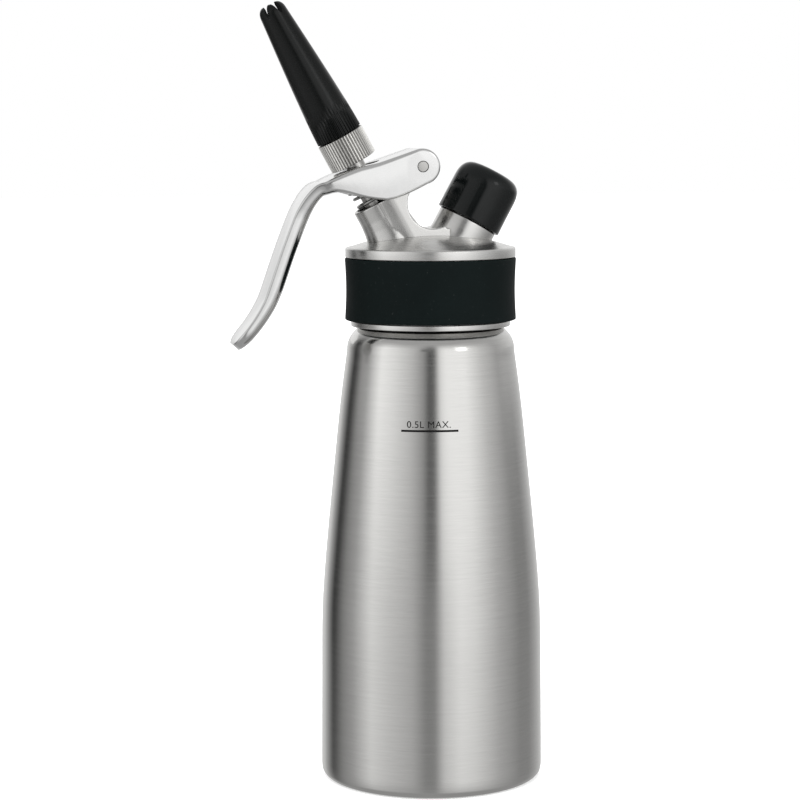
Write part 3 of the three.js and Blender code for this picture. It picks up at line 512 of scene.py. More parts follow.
class Sheet:
    """The node tree of a material, or of the world, while it is drawn up."""

    def __init__(self, owner: bpy.types.Material | bpy.types.World) -> None:
        """Starts with the nodes that Blender gives the owner.

        Args:
            owner: The material or world.
        """
        self.owner = owner
        self.owner.use_nodes = True
        self.nodes = owner.node_tree.nodes
        self.links = owner.node_tree.links

    @classmethod
    def named(cls, name: str) -> "Sheet":
        """Starts the sheet of a new material."""
        return cls(bpy.data.materials.new(name))

    def first(self, kind: str) -> bpy.types.Node:
        """The first node of a type, such as the shader or the output."""
        return next(node for node in self.nodes if node.type == kind)

    def node(self, kind: str, settings: dict | None = None, inputs: dict | None = None,
             output: int | str = 0) -> Value:
        """Adds any node.

        Args:
            kind: The node's type.
            settings: Its settings, set first. "stops" sets a colour ramp's stops.
            inputs: Values or links of its sockets, by name or number.
            output: The output socket that is wanted.

        Returns:
            The output as a value.
        """
        node = self.nodes.new(kind)
        for key, value in (settings or {}).items():
            if key == "stops":
                self.stops(node.color_ramp, value)
            else:
                setattr(node, key, value)
        for key, value in (inputs or {}).items():
            self.feed(node.inputs[key], value)
        return Value(self, node.outputs[output])

    @staticmethod
    def stops(ramp: bpy.types.ColorRamp, stops: Sequence[tuple[float, float | Colour]]) -> None:
        """Sets a colour ramp's stops.

        Args:
            ramp: The ramp.
            stops: Each stop's position, and its grey level or colour.
        """
        while len(ramp.elements) < len(stops):
            ramp.elements.new(1)
        for element, (position, colour) in zip(ramp.elements, stops):
            element.position = position
            rgb = (colour,) * 3 if isinstance(colour, (int, float)) else colour
            element.color = (*rgb, 1)

    def feed(self, socket: bpy.types.NodeSocket, value: object) -> None:
        """Links a value to a socket, or sets the socket to a number or colour.

        Args:
            socket: The input socket.
            value: What it gets.
        """
        if isinstance(value, Value):
            self.links.new(value.socket, socket)
        elif isinstance(value, tuple) and len(value) == 3 and socket.type == "RGBA":
            socket.default_value = (*value, 1)
        else:
            socket.default_value = value

    def surface(self, **sockets: object) -> bpy.types.Material:
        """Feeds the Principled shader.

        Args:
            sockets: What its sockets get, named with underscores for spaces.

        Returns:
            The material.
        """
        shader = self.first("BSDF_PRINCIPLED")
        names = {socket.name.lower().replace(" ", "_"): socket for socket in shader.inputs}
        for key, value in sockets.items():
            self.feed(names[key], value)
        return self.owner

    def glow(self, strength: Value | float) -> Value:
        """A shader that glows white."""
        return self.node("ShaderNodeEmission", inputs={"Strength": strength})

    def show(self, shader: Value) -> bpy.types.Material:
        """Sends a shader to the material's output, and returns the material."""
        self.feed(self.first("OUTPUT_MATERIAL").inputs["Surface"], shader)
        return self.owner

    def place(self, leaning: Leaning = UPRIGHT) -> Value:
        """The place on the object in millimetres, turned upright.

        Args:
            leaning: The axis that it counts from the foot of.

        Returns:
            The place.
        """
        coordinates = self.node("ShaderNodeTexCoord", output="Object")
        return self.node("ShaderNodeMapping", {"vector_type": "TEXTURE"}, {
            "Vector": coordinates,
            "Location": Vector((leaning.foot_x, 0, leaning.foot_z)) * MM,
            "Rotation": (0, math.radians(leaning.tilt_degrees), 0),
            "Scale": (MM, MM, MM),
        })

    def stretched(self, place: Value, scale: tuple[float, float, float]) -> Value:
        """A place whose three parts are multiplied."""
        return self.node("ShaderNodeVectorMath", {"operation": "MULTIPLY"}, {0: place, 1: scale})

    def parts(self, place: Value) -> tuple[Value, Value, Value]:
        """The three parts of a place."""
        split = self.node("ShaderNodeSeparateXYZ", inputs={0: place}).socket.node
        return tuple(Value(self, socket) for socket in split.outputs)

    def joined(self, x: Value | float, y: Value | float, z: Value | float) -> Value:
        """A place from three parts."""
        return self.node("ShaderNodeCombineXYZ", inputs={0: x, 1: y, 2: z})

    def noise(self, place: Value, scale: float, detail: float = 2, roughness: float = 0.5) -> Value:
        """Noise between 0 and 1, its scale in lumps a millimetre."""
        return self.node("ShaderNodeTexNoise", inputs={
            "Vector": place, "Scale": scale, "Detail": detail, "Roughness": roughness})

    def range(self, value: Value, low: float, high: float, to_low: float = 0, to_high: float = 1) -> Value:
        """A value carried from one range to another, and held within it."""
        return self.node("ShaderNodeMapRange", inputs={
            "Value": value, "From Min": low, "From Max": high, "To Min": to_low, "To Max": to_high})

    def mixed(self, share: Value, first: Colour | Value, second: Colour | Value) -> Value:
        """Mixes two colours.

        Args:
            share: How much there is of the second one, from 0 to 1.
            first: The first colour.
            second: The second colour.

        Returns:
            The mix.
        """
        mix = self.node("ShaderNodeMix", {"data_type": "RGBA"}, {0: share}, output=2).socket.node
        self.feed(mix.inputs[6], first)
        self.feed(mix.inputs[7], second)
        return Value(self, mix.outputs[2])

    def bump(self, height: Value, depth: float) -> Value:
        """A bumped normal, its depth in millimetres."""
        return self.node("ShaderNodeBump", inputs={"Height": height, "Distance": depth * MM, "Strength": 1})


def shaded(colour: Colour, share: float) -> Colour:
    """A colour made lighter or darker by a share."""
    return tuple(c * share for c in colour)


@dataclass(frozen=True)
class BrushedSteel:
    """Steel brushed round an axis: streaks that run about it, rings on faces across it."""

    name: str
    colour: Colour
    roughness: float = 0.2
    streak: float = 1.0
    depth: float = 0.004

    def material(self, leaning: Leaning = UPRIGHT) -> bpy.types.Material:
        """Draws up the material.

        Args:
            leaning: The axis of the piece, which the pattern follows.

        Returns:
            The material.
        """
        sheet = Sheet.named(self.name)
        place = sheet.place(leaning)
        x, y, z = sheet.parts(place)
        level = z + (x * x + y * y) ** 0.5
        round_about = sheet.joined(x * 0.05, y * 0.05, level * 2.2)
        fine = sheet.noise(round_about, scale=3.0, detail=3, roughness=0.6)
        coarse = sheet.noise(round_about, scale=0.55)
        cloud = sheet.noise(place, scale=0.03)
        grain = sheet.range(fine * 0.7 + coarse * 0.3, 0.3, 0.7)
        tone = sheet.range(grain * 0.75 + cloud * 0.25, 0, 1)
        spread = 0.055 * self.streak
        colour = sheet.mixed(tone, shaded(self.colour, 1 - spread), shaded(self.colour, 1 + spread))
        return sheet.surface(
            base_color=colour,
            metallic=1.0,
            roughness=sheet.range(grain * 0.7 + cloud * 0.3, 0.2, 0.8,
                                  self.roughness * 0.82, self.roughness * 1.22),
            normal=sheet.bump(fine * 0.6 + coarse * 0.4, self.depth),
        )


@dataclass(frozen=True)
class KnurledSteel:
    """Steel rolled with straight teeth, darkened in their valleys by painted shade."""

    name: str
    colour: Colour
    valley: float
    crest: float
    roughness: float = 0.3
    # shade: the share of the colour left at the bottom of the valleys' painted shade.
    shade: float = 0.16

    def material(self, leaning: Leaning = UPRIGHT) -> bpy.types.Material:
        """Draws up the material.

        Args:
            leaning: The axis of the piece, which the pattern follows.

        Returns:
            The material.
        """
        sheet = Sheet.named(self.name)
        place = sheet.place(leaning)
        x, y, _ = sheet.parts(place)
        # Painted shade: the colour darkens from the teeth's crests down to their valleys, mixed with a little
        # random grain.
        height = sheet.range((x * x + y * y) ** 0.5, self.valley, self.crest)
        grain = sheet.noise(sheet.stretched(place, (2.0, 2.0, 0.4)), scale=1.6, detail=3, roughness=0.6)
        valley_shade_and_grain = sheet.range(height * 0.8 + grain * 0.2, 0.15, 0.85)
        return sheet.surface(
            base_color=sheet.mixed(valley_shade_and_grain, shaded(self.colour, self.shade), self.colour),
            metallic=1.0,
            roughness=sheet.range(grain, 0.3, 0.7, self.roughness * 0.8, self.roughness * 1.3),
            normal=sheet.bump(grain, 0.004),
        )


@dataclass(frozen=True)
class CastSteel:
    """Investment cast steel, tumbled and polished: soft waves, fine pits and faint lines of polishing."""

    name: str
    colour: Colour
    roughness: float = 0.16
    depth: float = 0.012
    stretch: tuple[float, float, float] = (0.25, 1.0, 1.6)

    def material(self, leaning: Leaning = UPRIGHT) -> bpy.types.Material:
        """Draws up the material.

        Args:
            leaning: The axis of the piece, which the pattern follows.

        Returns:
            The material.
        """
        sheet = Sheet.named(self.name)
        place = sheet.place(leaning)
        wave = sheet.noise(place, scale=0.16, roughness=0.45)
        lines = sheet.noise(sheet.stretched(place, self.stretch), scale=3.2, detail=3, roughness=0.6)
        pits = sheet.range(sheet.noise(place, scale=2.4), 0.62, 0.74)
        tone = sheet.range(lines * 0.5 + wave * 0.5, 0.3, 0.7)
        colour = sheet.mixed(tone, shaded(self.colour, 0.94), shaded(self.colour, 1.04))
        return sheet.surface(
            base_color=colour,
            metallic=1.0,
            roughness=sheet.range(lines * 0.6 + wave * 0.4, 0.3, 0.7,
                                  self.roughness * 0.8, self.roughness * 1.3),
            normal=sheet.bump(wave + lines * 0.12 - pits * 0.06, self.depth),
        )


@dataclass(frozen=True)
class Elastic:
    """Rubber, silicone or soft plastic: a fine moulded grain with specks of dust and wear."""

    name: str
    colour: Colour
    roughness: float = 0.6
    specular: float = 0.3
    grain: float = 2.5
    depth: float = 0.012
    speck: float = 0.0
    dust: Colour = (0.25, 0.26, 0.26)

    def material(self, leaning: Leaning = UPRIGHT) -> bpy.types.Material:
        """Draws up the material.

        Args:
            leaning: The axis of the piece, which the pattern follows.

        Returns:
            The material.
        """
        sheet = Sheet.named(self.name)
        place = sheet.place(leaning)
        grain = sheet.noise(place, scale=self.grain, detail=3, roughness=0.55)
        cloud = sheet.noise(place, scale=0.07)
        specks = sheet.range(sheet.noise(place, scale=1.3, detail=1, roughness=0.4), 0.74, 0.78)
        tone = sheet.range(grain * 0.4 + cloud * 0.6, 0.3, 0.7)
        colour = sheet.mixed(tone, shaded(self.colour, 0.85), shaded(self.colour, 1.15))
        return sheet.surface(
            base_color=sheet.mixed(specks * self.speck, colour, self.dust),
            roughness=sheet.range(grain * 0.5 + cloud * 0.5, 0.3, 0.7,
                                  self.roughness * 0.88, self.roughness * 1.12),
            specular_ior_level=self.specular,
            normal=sheet.bump(grain, self.depth),
        )


BODY_STEEL = BrushedSteel("bottle_steel", (0.64, 0.635, 0.62), roughness=0.15, streak=1.3)
HEAD_STEEL = BrushedSteel("head_steel", (0.72, 0.715, 0.7), roughness=0.27, streak=0.9, depth=0.002)
BLOCK_STEEL = CastSteel("block_steel", (0.72, 0.715, 0.7), roughness=0.24, depth=0.003,
                        stretch=(1.4, 0.3, 0.3))
BOSS_STEEL = BrushedSteel("boss_steel", (0.66, 0.655, 0.64), roughness=0.22, streak=0.7, depth=0.0015)
LEVER_STEEL = CastSteel("lever_steel", (0.74, 0.74, 0.735), roughness=0.15, depth=0.009)
TURNED_STEEL = BrushedSteel("turned_steel", (0.52, 0.515, 0.5), roughness=0.26, streak=1.6)
KNURL_STEEL = KnurledSteel("knurled_steel", (0.86, 0.85, 0.82), valley=8.35, crest=8.75,
                           roughness=0.4, shade=0.26)
WIRE_STEEL = CastSteel("spring_wire", (0.42, 0.42, 0.41), roughness=0.22, depth=0.003)
NEEDLE_STEEL = BrushedSteel("needle_steel", TURNED_STEEL.colour, roughness=0.2)
BRASS = BrushedSteel("turned_brass", (0.71, 0.52, 0.22), roughness=0.25, streak=1.4)
BAND_RUBBER = Elastic("band_rubber", (0.0035, 0.0062, 0.0062), roughness=0.62, specular=0.07, speck=0.1)
PALE_SILICONE = Elastic("pale_silicone", (0.72, 0.72, 0.69), roughness=0.5, specular=0.4)
SEAL_RUBBER = Elastic("seal_rubber", (0.014, 0.014, 0.014), roughness=0.55, specular=0.3)
BUSH_PLASTIC = Elastic("bush_plastic", (0.76, 0.75, 0.7), roughness=0.42, specular=0.45, depth=0.004)
NOZZLE_PLASTIC = Elastic("nozzle_plastic", (0.0024, 0.0028, 0.0027), roughness=0.22, specular=0.23,
                         grain=1.6, depth=0.004)
CAP_VINYL = Elastic("cap_vinyl", (0.0028, 0.0036, 0.0036), roughness=0.1, specular=0.28, grain=0.22)
INK = Elastic("etched_mark", (0.006, 0.006, 0.006), roughness=0.55, specular=0.1, grain=4)


def fit_piece(obj: bpy.types.Object, body: Body, slot: Slot, material: bpy.types.Material,
              *nodes: str, angle: float = 30) -> None:
    """Dresses a finished piece and says what it rides on.

    Args:
        obj: The piece, with its place in its mesh.
        body: The moving body that it rides on.
        slot: The record's material slot. It is not used.
        material: Its material.
        nodes: The frame's nodes that it stands for.
        angle: Edges sharper than this stay sharp, in degrees.
    """
    Bench.smooth(obj, angle)
    obj.data.materials.clear()
    obj.data.materials.append(material)
    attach(obj, body.value)
    if nodes:
        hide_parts(*nodes)
    LOG.info("%s: %d faces", obj.name, len(obj.data.polygons))


@dataclass(frozen=True)
class Thread:
    """A screw thread's ridge round Z, its foot sunk in the wall that it stands on."""

    radius: float
    height: float
    bottom: float
    turns: float
    pitch: float
    inward: bool = False
    sink: float = 0.08
    half_share: float = 0.28
    crest_shares: tuple[float, float] = (1.35, 0.65)
    steps: int = 64

    def wind(self, name: str) -> bpy.types.Object:
        """Winds the ridge with the Screw modifier.

        Args:
            name: The new object's name.

        Returns:
            The closed ridge.
        """
        outward = -1 if self.inward else 1
        root, crest = self.radius - outward * self.sink, self.radius + outward * self.height
        half = self.pitch * self.half_share
        low, high = self.bottom, self.bottom + 2 * half
        section = [(root, low), (root, high), (self.radius, high),
                   *[(crest, low + share * half) for share in self.crest_shares], (self.radius, low)]
        corners = [Vector((r, 0, z)) * MM for r, z in section]
        obj = Bench.chain(name, [*corners, corners[0]])
        bpy.ops.object.mode_set(mode="OBJECT")
        steps = round(self.turns * self.steps)
        Bench.modify(obj, "SCREW", angle=self.turns * math.tau, screw_offset=self.turns * self.pitch * MM,
                     steps=steps, render_steps=steps, use_merge_vertices=False)
        bpy.ops.object.mode_set(mode="EDIT")
        bpy.ops.mesh.select_all(action="SELECT")
        bpy.ops.mesh.fill_holes(sides=0)
        Bench.close()
        bpy.ops.object.mode_set(mode="OBJECT")
        return obj


@dataclass
class Bottle:
    """The drawn steel bottle with its neck thread and its fill mark."""

    wall: float = 1.2
    neck_radius: float = 25.6
    rim_top: float = 190.0
    thread_bottom: float = 174.0
    thread_turns: float = 1.75
    side: Outline = field(default_factory=lambda: [
        (41.1, 4.5), (41.02, 20.0), (40.85, 40.0), (40.68, 57.6), (40.12, 70.4), (38.68, 88.0),
        (36.47, 110.4), (33.48, 139.2), (30.95, 158.6)])
    shoulder: Outline = field(default_factory=lambda: [
        (30.8, 160.8), (30.35, 162.6), (29.5, 164.3), (28.4, 165.7), (27.2, 167.0), (26.2, 168.4),
        (25.6, 170.2)])
    base_ring: Outline = field(default_factory=lambda: [(26.0, 0.0), (27.2, 1.2), (31.8, 1.2), (33.0, 0.0)])
    ring_edge: float = 0.5
    heel: Outline = field(default_factory=lambda: [(38.0, 0.0), (39.7, 0.35), (40.85, 1.9)])
    heel_edge: float = 0.8
    floor: Outline = field(default_factory=lambda: [
        (38.2, 1.35), (34.2, 1.2), (32.6, 2.4), (26.4, 2.4), (25.0, 1.2), (0, 1.2)])
    mark_height: float = 132.85
    mark_width: float = 20.4
    mark_thickness: float = 0.75
    mark_azimuth: float = -12.1
    mark_lift: float = 0.06
    mark_clearance: float = 2.0
    mark_steps: int = 24
    letter_height: float = 3.4
    letter_spacing: float = 1.08
    letter_cuts: int = 3
    words_aside: float = -0.3
    words_above: float = 1.15

    def build(self) -> None:
        """Builds the bottle and what belongs to it."""
        material = BODY_STEEL.material()
        shell = self.shell()
        fit_piece(shell, Body.BOTTLE, Slot.BODY, material, "bottle", angle=40)
        thread = Thread(self.neck_radius, NECK_RIDGE, self.thread_bottom, self.thread_turns, NECK_PITCH)
        fit_piece(thread.wind("bottle_thread"), Body.BOTTLE, Slot.BODY, material)
        ink = INK.material()
        for mark in (self.fill_line(), self.fill_words()):
            self.lay(mark, shell)
            fit_piece(mark, Body.BOTTLE, Slot.RUBBER, ink)

    def shell(self) -> bpy.types.Object:
        """Spins the bottle's wall, outside and in.

        Returns:
            The wall.
        """
        base = eased([(0, 0), *[(*p, self.ring_edge) for p in self.base_ring],
                      *[(*p, self.heel_edge) for p in self.heel], self.side[0]])
        outside = [*base[:-1], *flowing(self.side, 5), *flowing(self.shoulder, 3)]
        lip = bow(self.neck_radius - self.wall / 2, self.rim_top - self.wall / 2, self.wall / 2, 0, 180, 8)
        inside = [(r - self.wall, z)
                  for line in (self.shoulder, self.side) for r, z in flowing(line, 2)[::-1]]
        return Bench.turned("bottle_shell", [*outside, *lip, *inside, *self.floor], 144)

    def front(self) -> float:
        """A place on Y in front of the bottle, from which the mark is laid on."""
        return -level_at([(z, r) for r, z in self.side], self.mark_height) - self.mark_clearance

    def fill_line(self) -> bpy.types.Object:
        """Draws the fill line in front of the bottle.

        Returns:
            The flat line.
        """
        bpy.ops.object.select_all(action="DESELECT")
        bpy.ops.mesh.primitive_grid_add(x_subdivisions=self.mark_steps, y_subdivisions=1, size=1)
        line = bpy.context.object
        line.name = "fill_line"
        line.scale = Vector((self.mark_width, self.mark_thickness, 1)) * MM
        line.rotation_euler.x = math.pi / 2
        Bench.shift(line, y=self.front(), z=self.mark_height)
        return line

    def fill_words(self) -> bpy.types.Object:
        """Sets the fill line's plain lettering in front of the bottle.

        Returns:
            The flat letters.
        """
        bpy.ops.object.select_all(action="DESELECT")
        bpy.ops.object.text_add(rotation=(math.pi / 2, 0, 0))
        words = bpy.context.object
        words.name = "fill_words"
        words.data.body = "0.5L MAX."
        words.data.align_x = "CENTER"
        words.data.size = self.letter_height * MM
        words.data.space_character = self.letter_spacing
        bpy.ops.object.convert(target="MESH")
        Bench.shift(words, self.words_aside, self.front(), self.mark_height + self.words_above)
        bpy.ops.object.mode_set(mode="EDIT")
        bpy.ops.mesh.select_all(action="SELECT")
        bpy.ops.mesh.quads_convert_to_tris()
        bpy.ops.mesh.subdivide(number_cuts=self.letter_cuts)
        bpy.ops.object.mode_set(mode="OBJECT")
        return words

    def lay(self, mark: bpy.types.Object, shell: bpy.types.Object) -> None:
        """Lays a flat drawing on the steel behind it and turns it to the mark's side.

        Args:
            mark: The drawing, in front of the bottle.
            shell: The bottle's wall.
        """
        Bench.modify(mark, "SHRINKWRAP", target=shell, wrap_method="PROJECT",
                     use_project_y=True, use_negative_direction=False, offset=self.mark_lift * MM)
        Bench.modify(mark, "SOLIDIFY", thickness=2 * self.mark_lift * MM, offset=0.0)
        mark.rotation_euler.z = math.radians(self.mark_azimuth)
        Bench.settle(mark)


@dataclass
class Gasket:
    """The flat ring on the bottle's rim, with its pull tab."""

    inner: float = 21.8
    outer: float = 27.2
    bottom: float = 190.3
    top: float = 192.6
    edge: float = 0.3
    tab_half: float = 4.0
    tab_end: float = 18.3
    tab_root: float = 23.0
    tab_edge: float = 0.5

    def build(self) -> None:
        """Spins the ring and joins its tab."""
        corners = [(self.inner, self.bottom), (self.outer, self.bottom),
                   (self.outer, self.top), (self.inner, self.top)]
        ring = Bench.turned("rim_gasket", eased([(*p, self.edge) for p in corners], ring=True), 96, ring=True)
        tab = Bench.block("tab", (-self.tab_half, self.tab_end, self.bottom),
                          (self.tab_half, self.tab_root, self.top))
        Bench.modify(tab, "BEVEL", width=self.tab_edge * MM, segments=3)
        Bench.combine(ring, tab, Joining.ADD)
        fit_piece(ring, Body.GASKET, Slot.SILICONE, PALE_SILICONE.material(), "head_gasket")


@dataclass
class Head:
    """The turned head with its thread and its grip band."""

    bottom: float = 168.0
    skirt_inner: float = 27.5
    skirt_outer: float = 28.7
    thread_bottom: float = 171.0
    thread_turns: float = 2.5
    flange_radius: float = 29.3
    flange_height: float = 2.0
    flange_edge: float = 0.3
    corner_edge: float = 0.1
    plate_bottom: float = 193.3
    plate_radius: float = 31.3
    plate_edge: float = 0.25
    rim_edge: float = 0.5
    rim_run: float = 1.5
    rim_rise: float = 0.51
    dome_rise: float = 5.3
    dome_steps: int = 16
    lid: Outline = field(default_factory=lambda: [(0, 196.1), (16.0, 196.1), (16.6, 195.9), (19.3, 193.2)])
    seat_radius: float = 19.8
    gasket_seat: float = 192.9
    bores: tuple[tuple[Leaning, float], ...] = ((VALVE, 7.9), (BOSS, 4.8))
    bore_bottom: float = -9.0
    bore_top: float = 12.0
    band_outer: float = 31.5
    band_bottom: float = 170.3
    band_height: float = 22.7
    band_waist: float = 0.45
    band_play: float = 0.3
    band_inner_edge: float = 0.2
    band_outer_edge: float = 0.6
    band_steps: int = 16
    trim_radius: float = 60.0
    trim_bottom: float = 150.0

    def build(self) -> None:
        """Builds the head's pieces."""
        material = HEAD_STEEL.material()
        fit_piece(self.cap(), Body.HEAD, Slot.HEAD, material, "head_cap")
        thread = Thread(self.skirt_inner, NECK_RIDGE, self.thread_bottom, self.thread_turns, NECK_PITCH,
                        inward=True)
        fit_piece(thread.wind("head_thread"), Body.HEAD, Slot.HEAD, material)
        fit_piece(self.band(), Body.HEAD, Slot.BAND, BAND_RUBBER.material(), "grip_band")

    def dome(self, raise_by: float = 0) -> Outline:
        """Draws the plate's domed top from its rim to the axis.

        Args:
            raise_by: How far above the real top it is drawn.

        Returns:
            The dome's points.
        """
        edge = self.plate_radius - self.rim_edge
        shares = [1 - i / self.dome_steps for i in range(self.dome_steps + 1)]
        return [(edge * share, PLATE_TOP + raise_by + self.dome_rise * (1 - share ** 2)) for share in shares]

    def below_dome(self) -> bpy.types.Object:
        """Spins a tool that trims what stands on the dome.

        Returns:
            The tool: all that lies below the dome, with a seam's room.
        """
        return Bench.turned("below", [
            (0, self.trim_bottom), (self.trim_radius, self.trim_bottom),
            (self.trim_radius, PLATE_TOP + SEAM_MM), *self.dome(SEAM_MM)], 96)

    def cap(self) -> bpy.types.Object:
        """Spins flange, skirt and plate, and bores them for the valve and the gas.

        Returns:
            The head's steel.
        """
        flange_top = self.bottom + self.flange_height
        rims = eased([
            (self.skirt_inner, self.bottom, self.flange_edge),
            (self.flange_radius, self.bottom, self.flange_edge),
            (self.flange_radius, flange_top, self.flange_edge),
            (self.skirt_outer, flange_top, self.corner_edge),
            (self.skirt_outer, self.plate_bottom, self.corner_edge),
            (self.plate_radius, self.plate_bottom, self.plate_edge),
            (self.plate_radius, PLATE_TOP, self.rim_edge),
            (self.plate_radius - self.rim_run, PLATE_TOP + self.rim_rise)])[:-1]
        lid = [*self.lid, (self.seat_radius, self.gasket_seat), (self.skirt_inner, self.gasket_seat)]
        cap = Bench.turned("head_shell", [*rims, *self.dome()[1:], *lid], 144, ring=True)
        for leaning, radius in self.bores:
            Bench.combine(cap, Bench.pillar("bore", radius, self.bore_bottom, self.bore_top, leaning=leaning))
        return cap

    def band(self) -> bpy.types.Object:
        """Spins the grip band, drawn in at half height.

        Returns:
            The band.
        """
        inner = self.skirt_outer + self.band_play
        top = self.band_bottom + self.band_height
        shares = [i / self.band_steps for i in range(1, self.band_steps)]
        side = [(self.band_outer - self.band_waist * math.sin(math.pi * share),
                 self.band_bottom + self.band_height * share) for share in shares]
        outline = eased([
            (inner, self.band_bottom, self.band_inner_edge),
            (self.band_outer, self.band_bottom, self.band_outer_edge), *side,
            (self.band_outer, top, self.band_outer_edge), (inner, top, self.band_inner_edge)], ring=True)
        return Bench.turned("grip_sleeve", outline, 144, ring=True)


@dataclass
class GasInlet:
    """The charger boss with its thread and the protective cap over it, in the boss's upright drawing."""

    head: Head = field(default_factory=Head)
    bottom: float = -3.6
    radius: float = 11.2
    foot_step: float = 0.6
    foot_height: float = 0.8
    foot_top: float = 3.2
    shoulder: float = 10.8
    thread_radius: float = 9.7
    thread_height: float = 0.6
    thread_pitch: float = 1.6
    thread_turns: float = 6
    thread_gap: float = 1.2
    top: float = 23.8
    shank_radius: float = 4.5
    shank_top: float = 5.0
    bores: Outline = field(default_factory=lambda: [
        (0, -6), (1.2, -6), (1.2, 0.4), (2.7, 0.4), (2.7, 5.3), (4.6, 5.3), (4.6, 13.0), (5.6, 13.0)])
    mouth_radius: float = 6.6
    mouth_depth: float = 1.0
    bore_top: float = 30.0
    room: float = 0.1
    room_top: float = 20.0
    cap_bottom: float = 11.1
    cap_top: float = 31.2
    cap_rim: float = 12.3
    cap_rim_height: float = 6.0
    cap_rim_draft: float = 0.1
    cap_crown: float = 12.15
    cap_wall: float = 1.3

    def build(self) -> None:
        """Builds the boss, its thread and the cap."""
        material = BOSS_STEEL.material(BOSS)
        fit_piece(self.boss(), Body.HEAD, Slot.HEAD, material, "charger_boss")
        thread = Thread(self.thread_radius, self.thread_height, self.shoulder + self.thread_gap,
                        self.thread_turns, self.thread_pitch).wind("boss_thread")
        Bench.lean(thread, BOSS)
        fit_piece(thread, Body.HEAD, Slot.HEAD, material)
        fit_piece(self.cap(), Body.CAP, Slot.CAP, CAP_VINYL.material(BOSS), "protective_cap")

    def room_outline(self) -> Outline:
        """Draws the room that the boss's foot takes up beside the casting.

        Returns:
            The outline, a little larger than the foot.
        """
        radius = self.radius + self.room
        foot = radius + self.foot_step
        return [(0, self.bottom), (foot, self.bottom), (foot, self.foot_height),
                (radius, self.foot_top + self.room), (radius, self.room_top), (0, self.room_top)]

    def boss(self) -> bpy.types.Object:
        """Spins the boss with its socket and ports, and trims its foot to the dome.

        Returns:
            The boss.
        """
        foot = self.radius + self.foot_step
        boss = Bench.turned("boss_body", eased([
            (0, self.bottom), (foot, self.bottom), (foot, self.foot_height, 1.0),
            (self.radius, self.foot_top, 1.5), (self.radius, self.shoulder, 0.5),
            (self.thread_radius, self.shoulder, 0.2),
            (self.thread_radius, self.top, 0.9), (0, self.top)]), 96, leaning=BOSS)
        Bench.combine(boss, self.head.below_dome())
        shank = Bench.pillar("shank", self.shank_radius, self.bottom, self.shank_top, 48, BOSS)
        Bench.combine(boss, shank, Joining.ADD)
        Bench.combine(boss, Bench.turned("bores", [
            *self.bores, (self.bores[-1][0], self.top - self.mouth_depth),
            (self.mouth_radius, self.top + HAIR_MM), (self.mouth_radius, self.bore_top),
            (0, self.bore_top)], 48, leaning=BOSS))
        return boss

    def cap(self) -> bpy.types.Object:
        """Spins the dipped cap with its soft crown.

        Returns:
            The cap.
        """
        rim, crown, wall = self.cap_rim, self.cap_crown, self.cap_wall
        outline = eased([
            (rim - wall, self.cap_bottom, 0.5), (rim, self.cap_bottom, 0.6),
            (rim - self.cap_rim_draft, self.cap_bottom + self.cap_rim_height), (crown, self.cap_top, 7.6),
            (0, self.cap_top), (0, self.cap_top - wall), (crown - wall, self.cap_top - wall, 6.2)],
            ring=True, steps=10)
        return Bench.turned("dipped_cap", outline, 96, ring=True, leaning=BOSS)


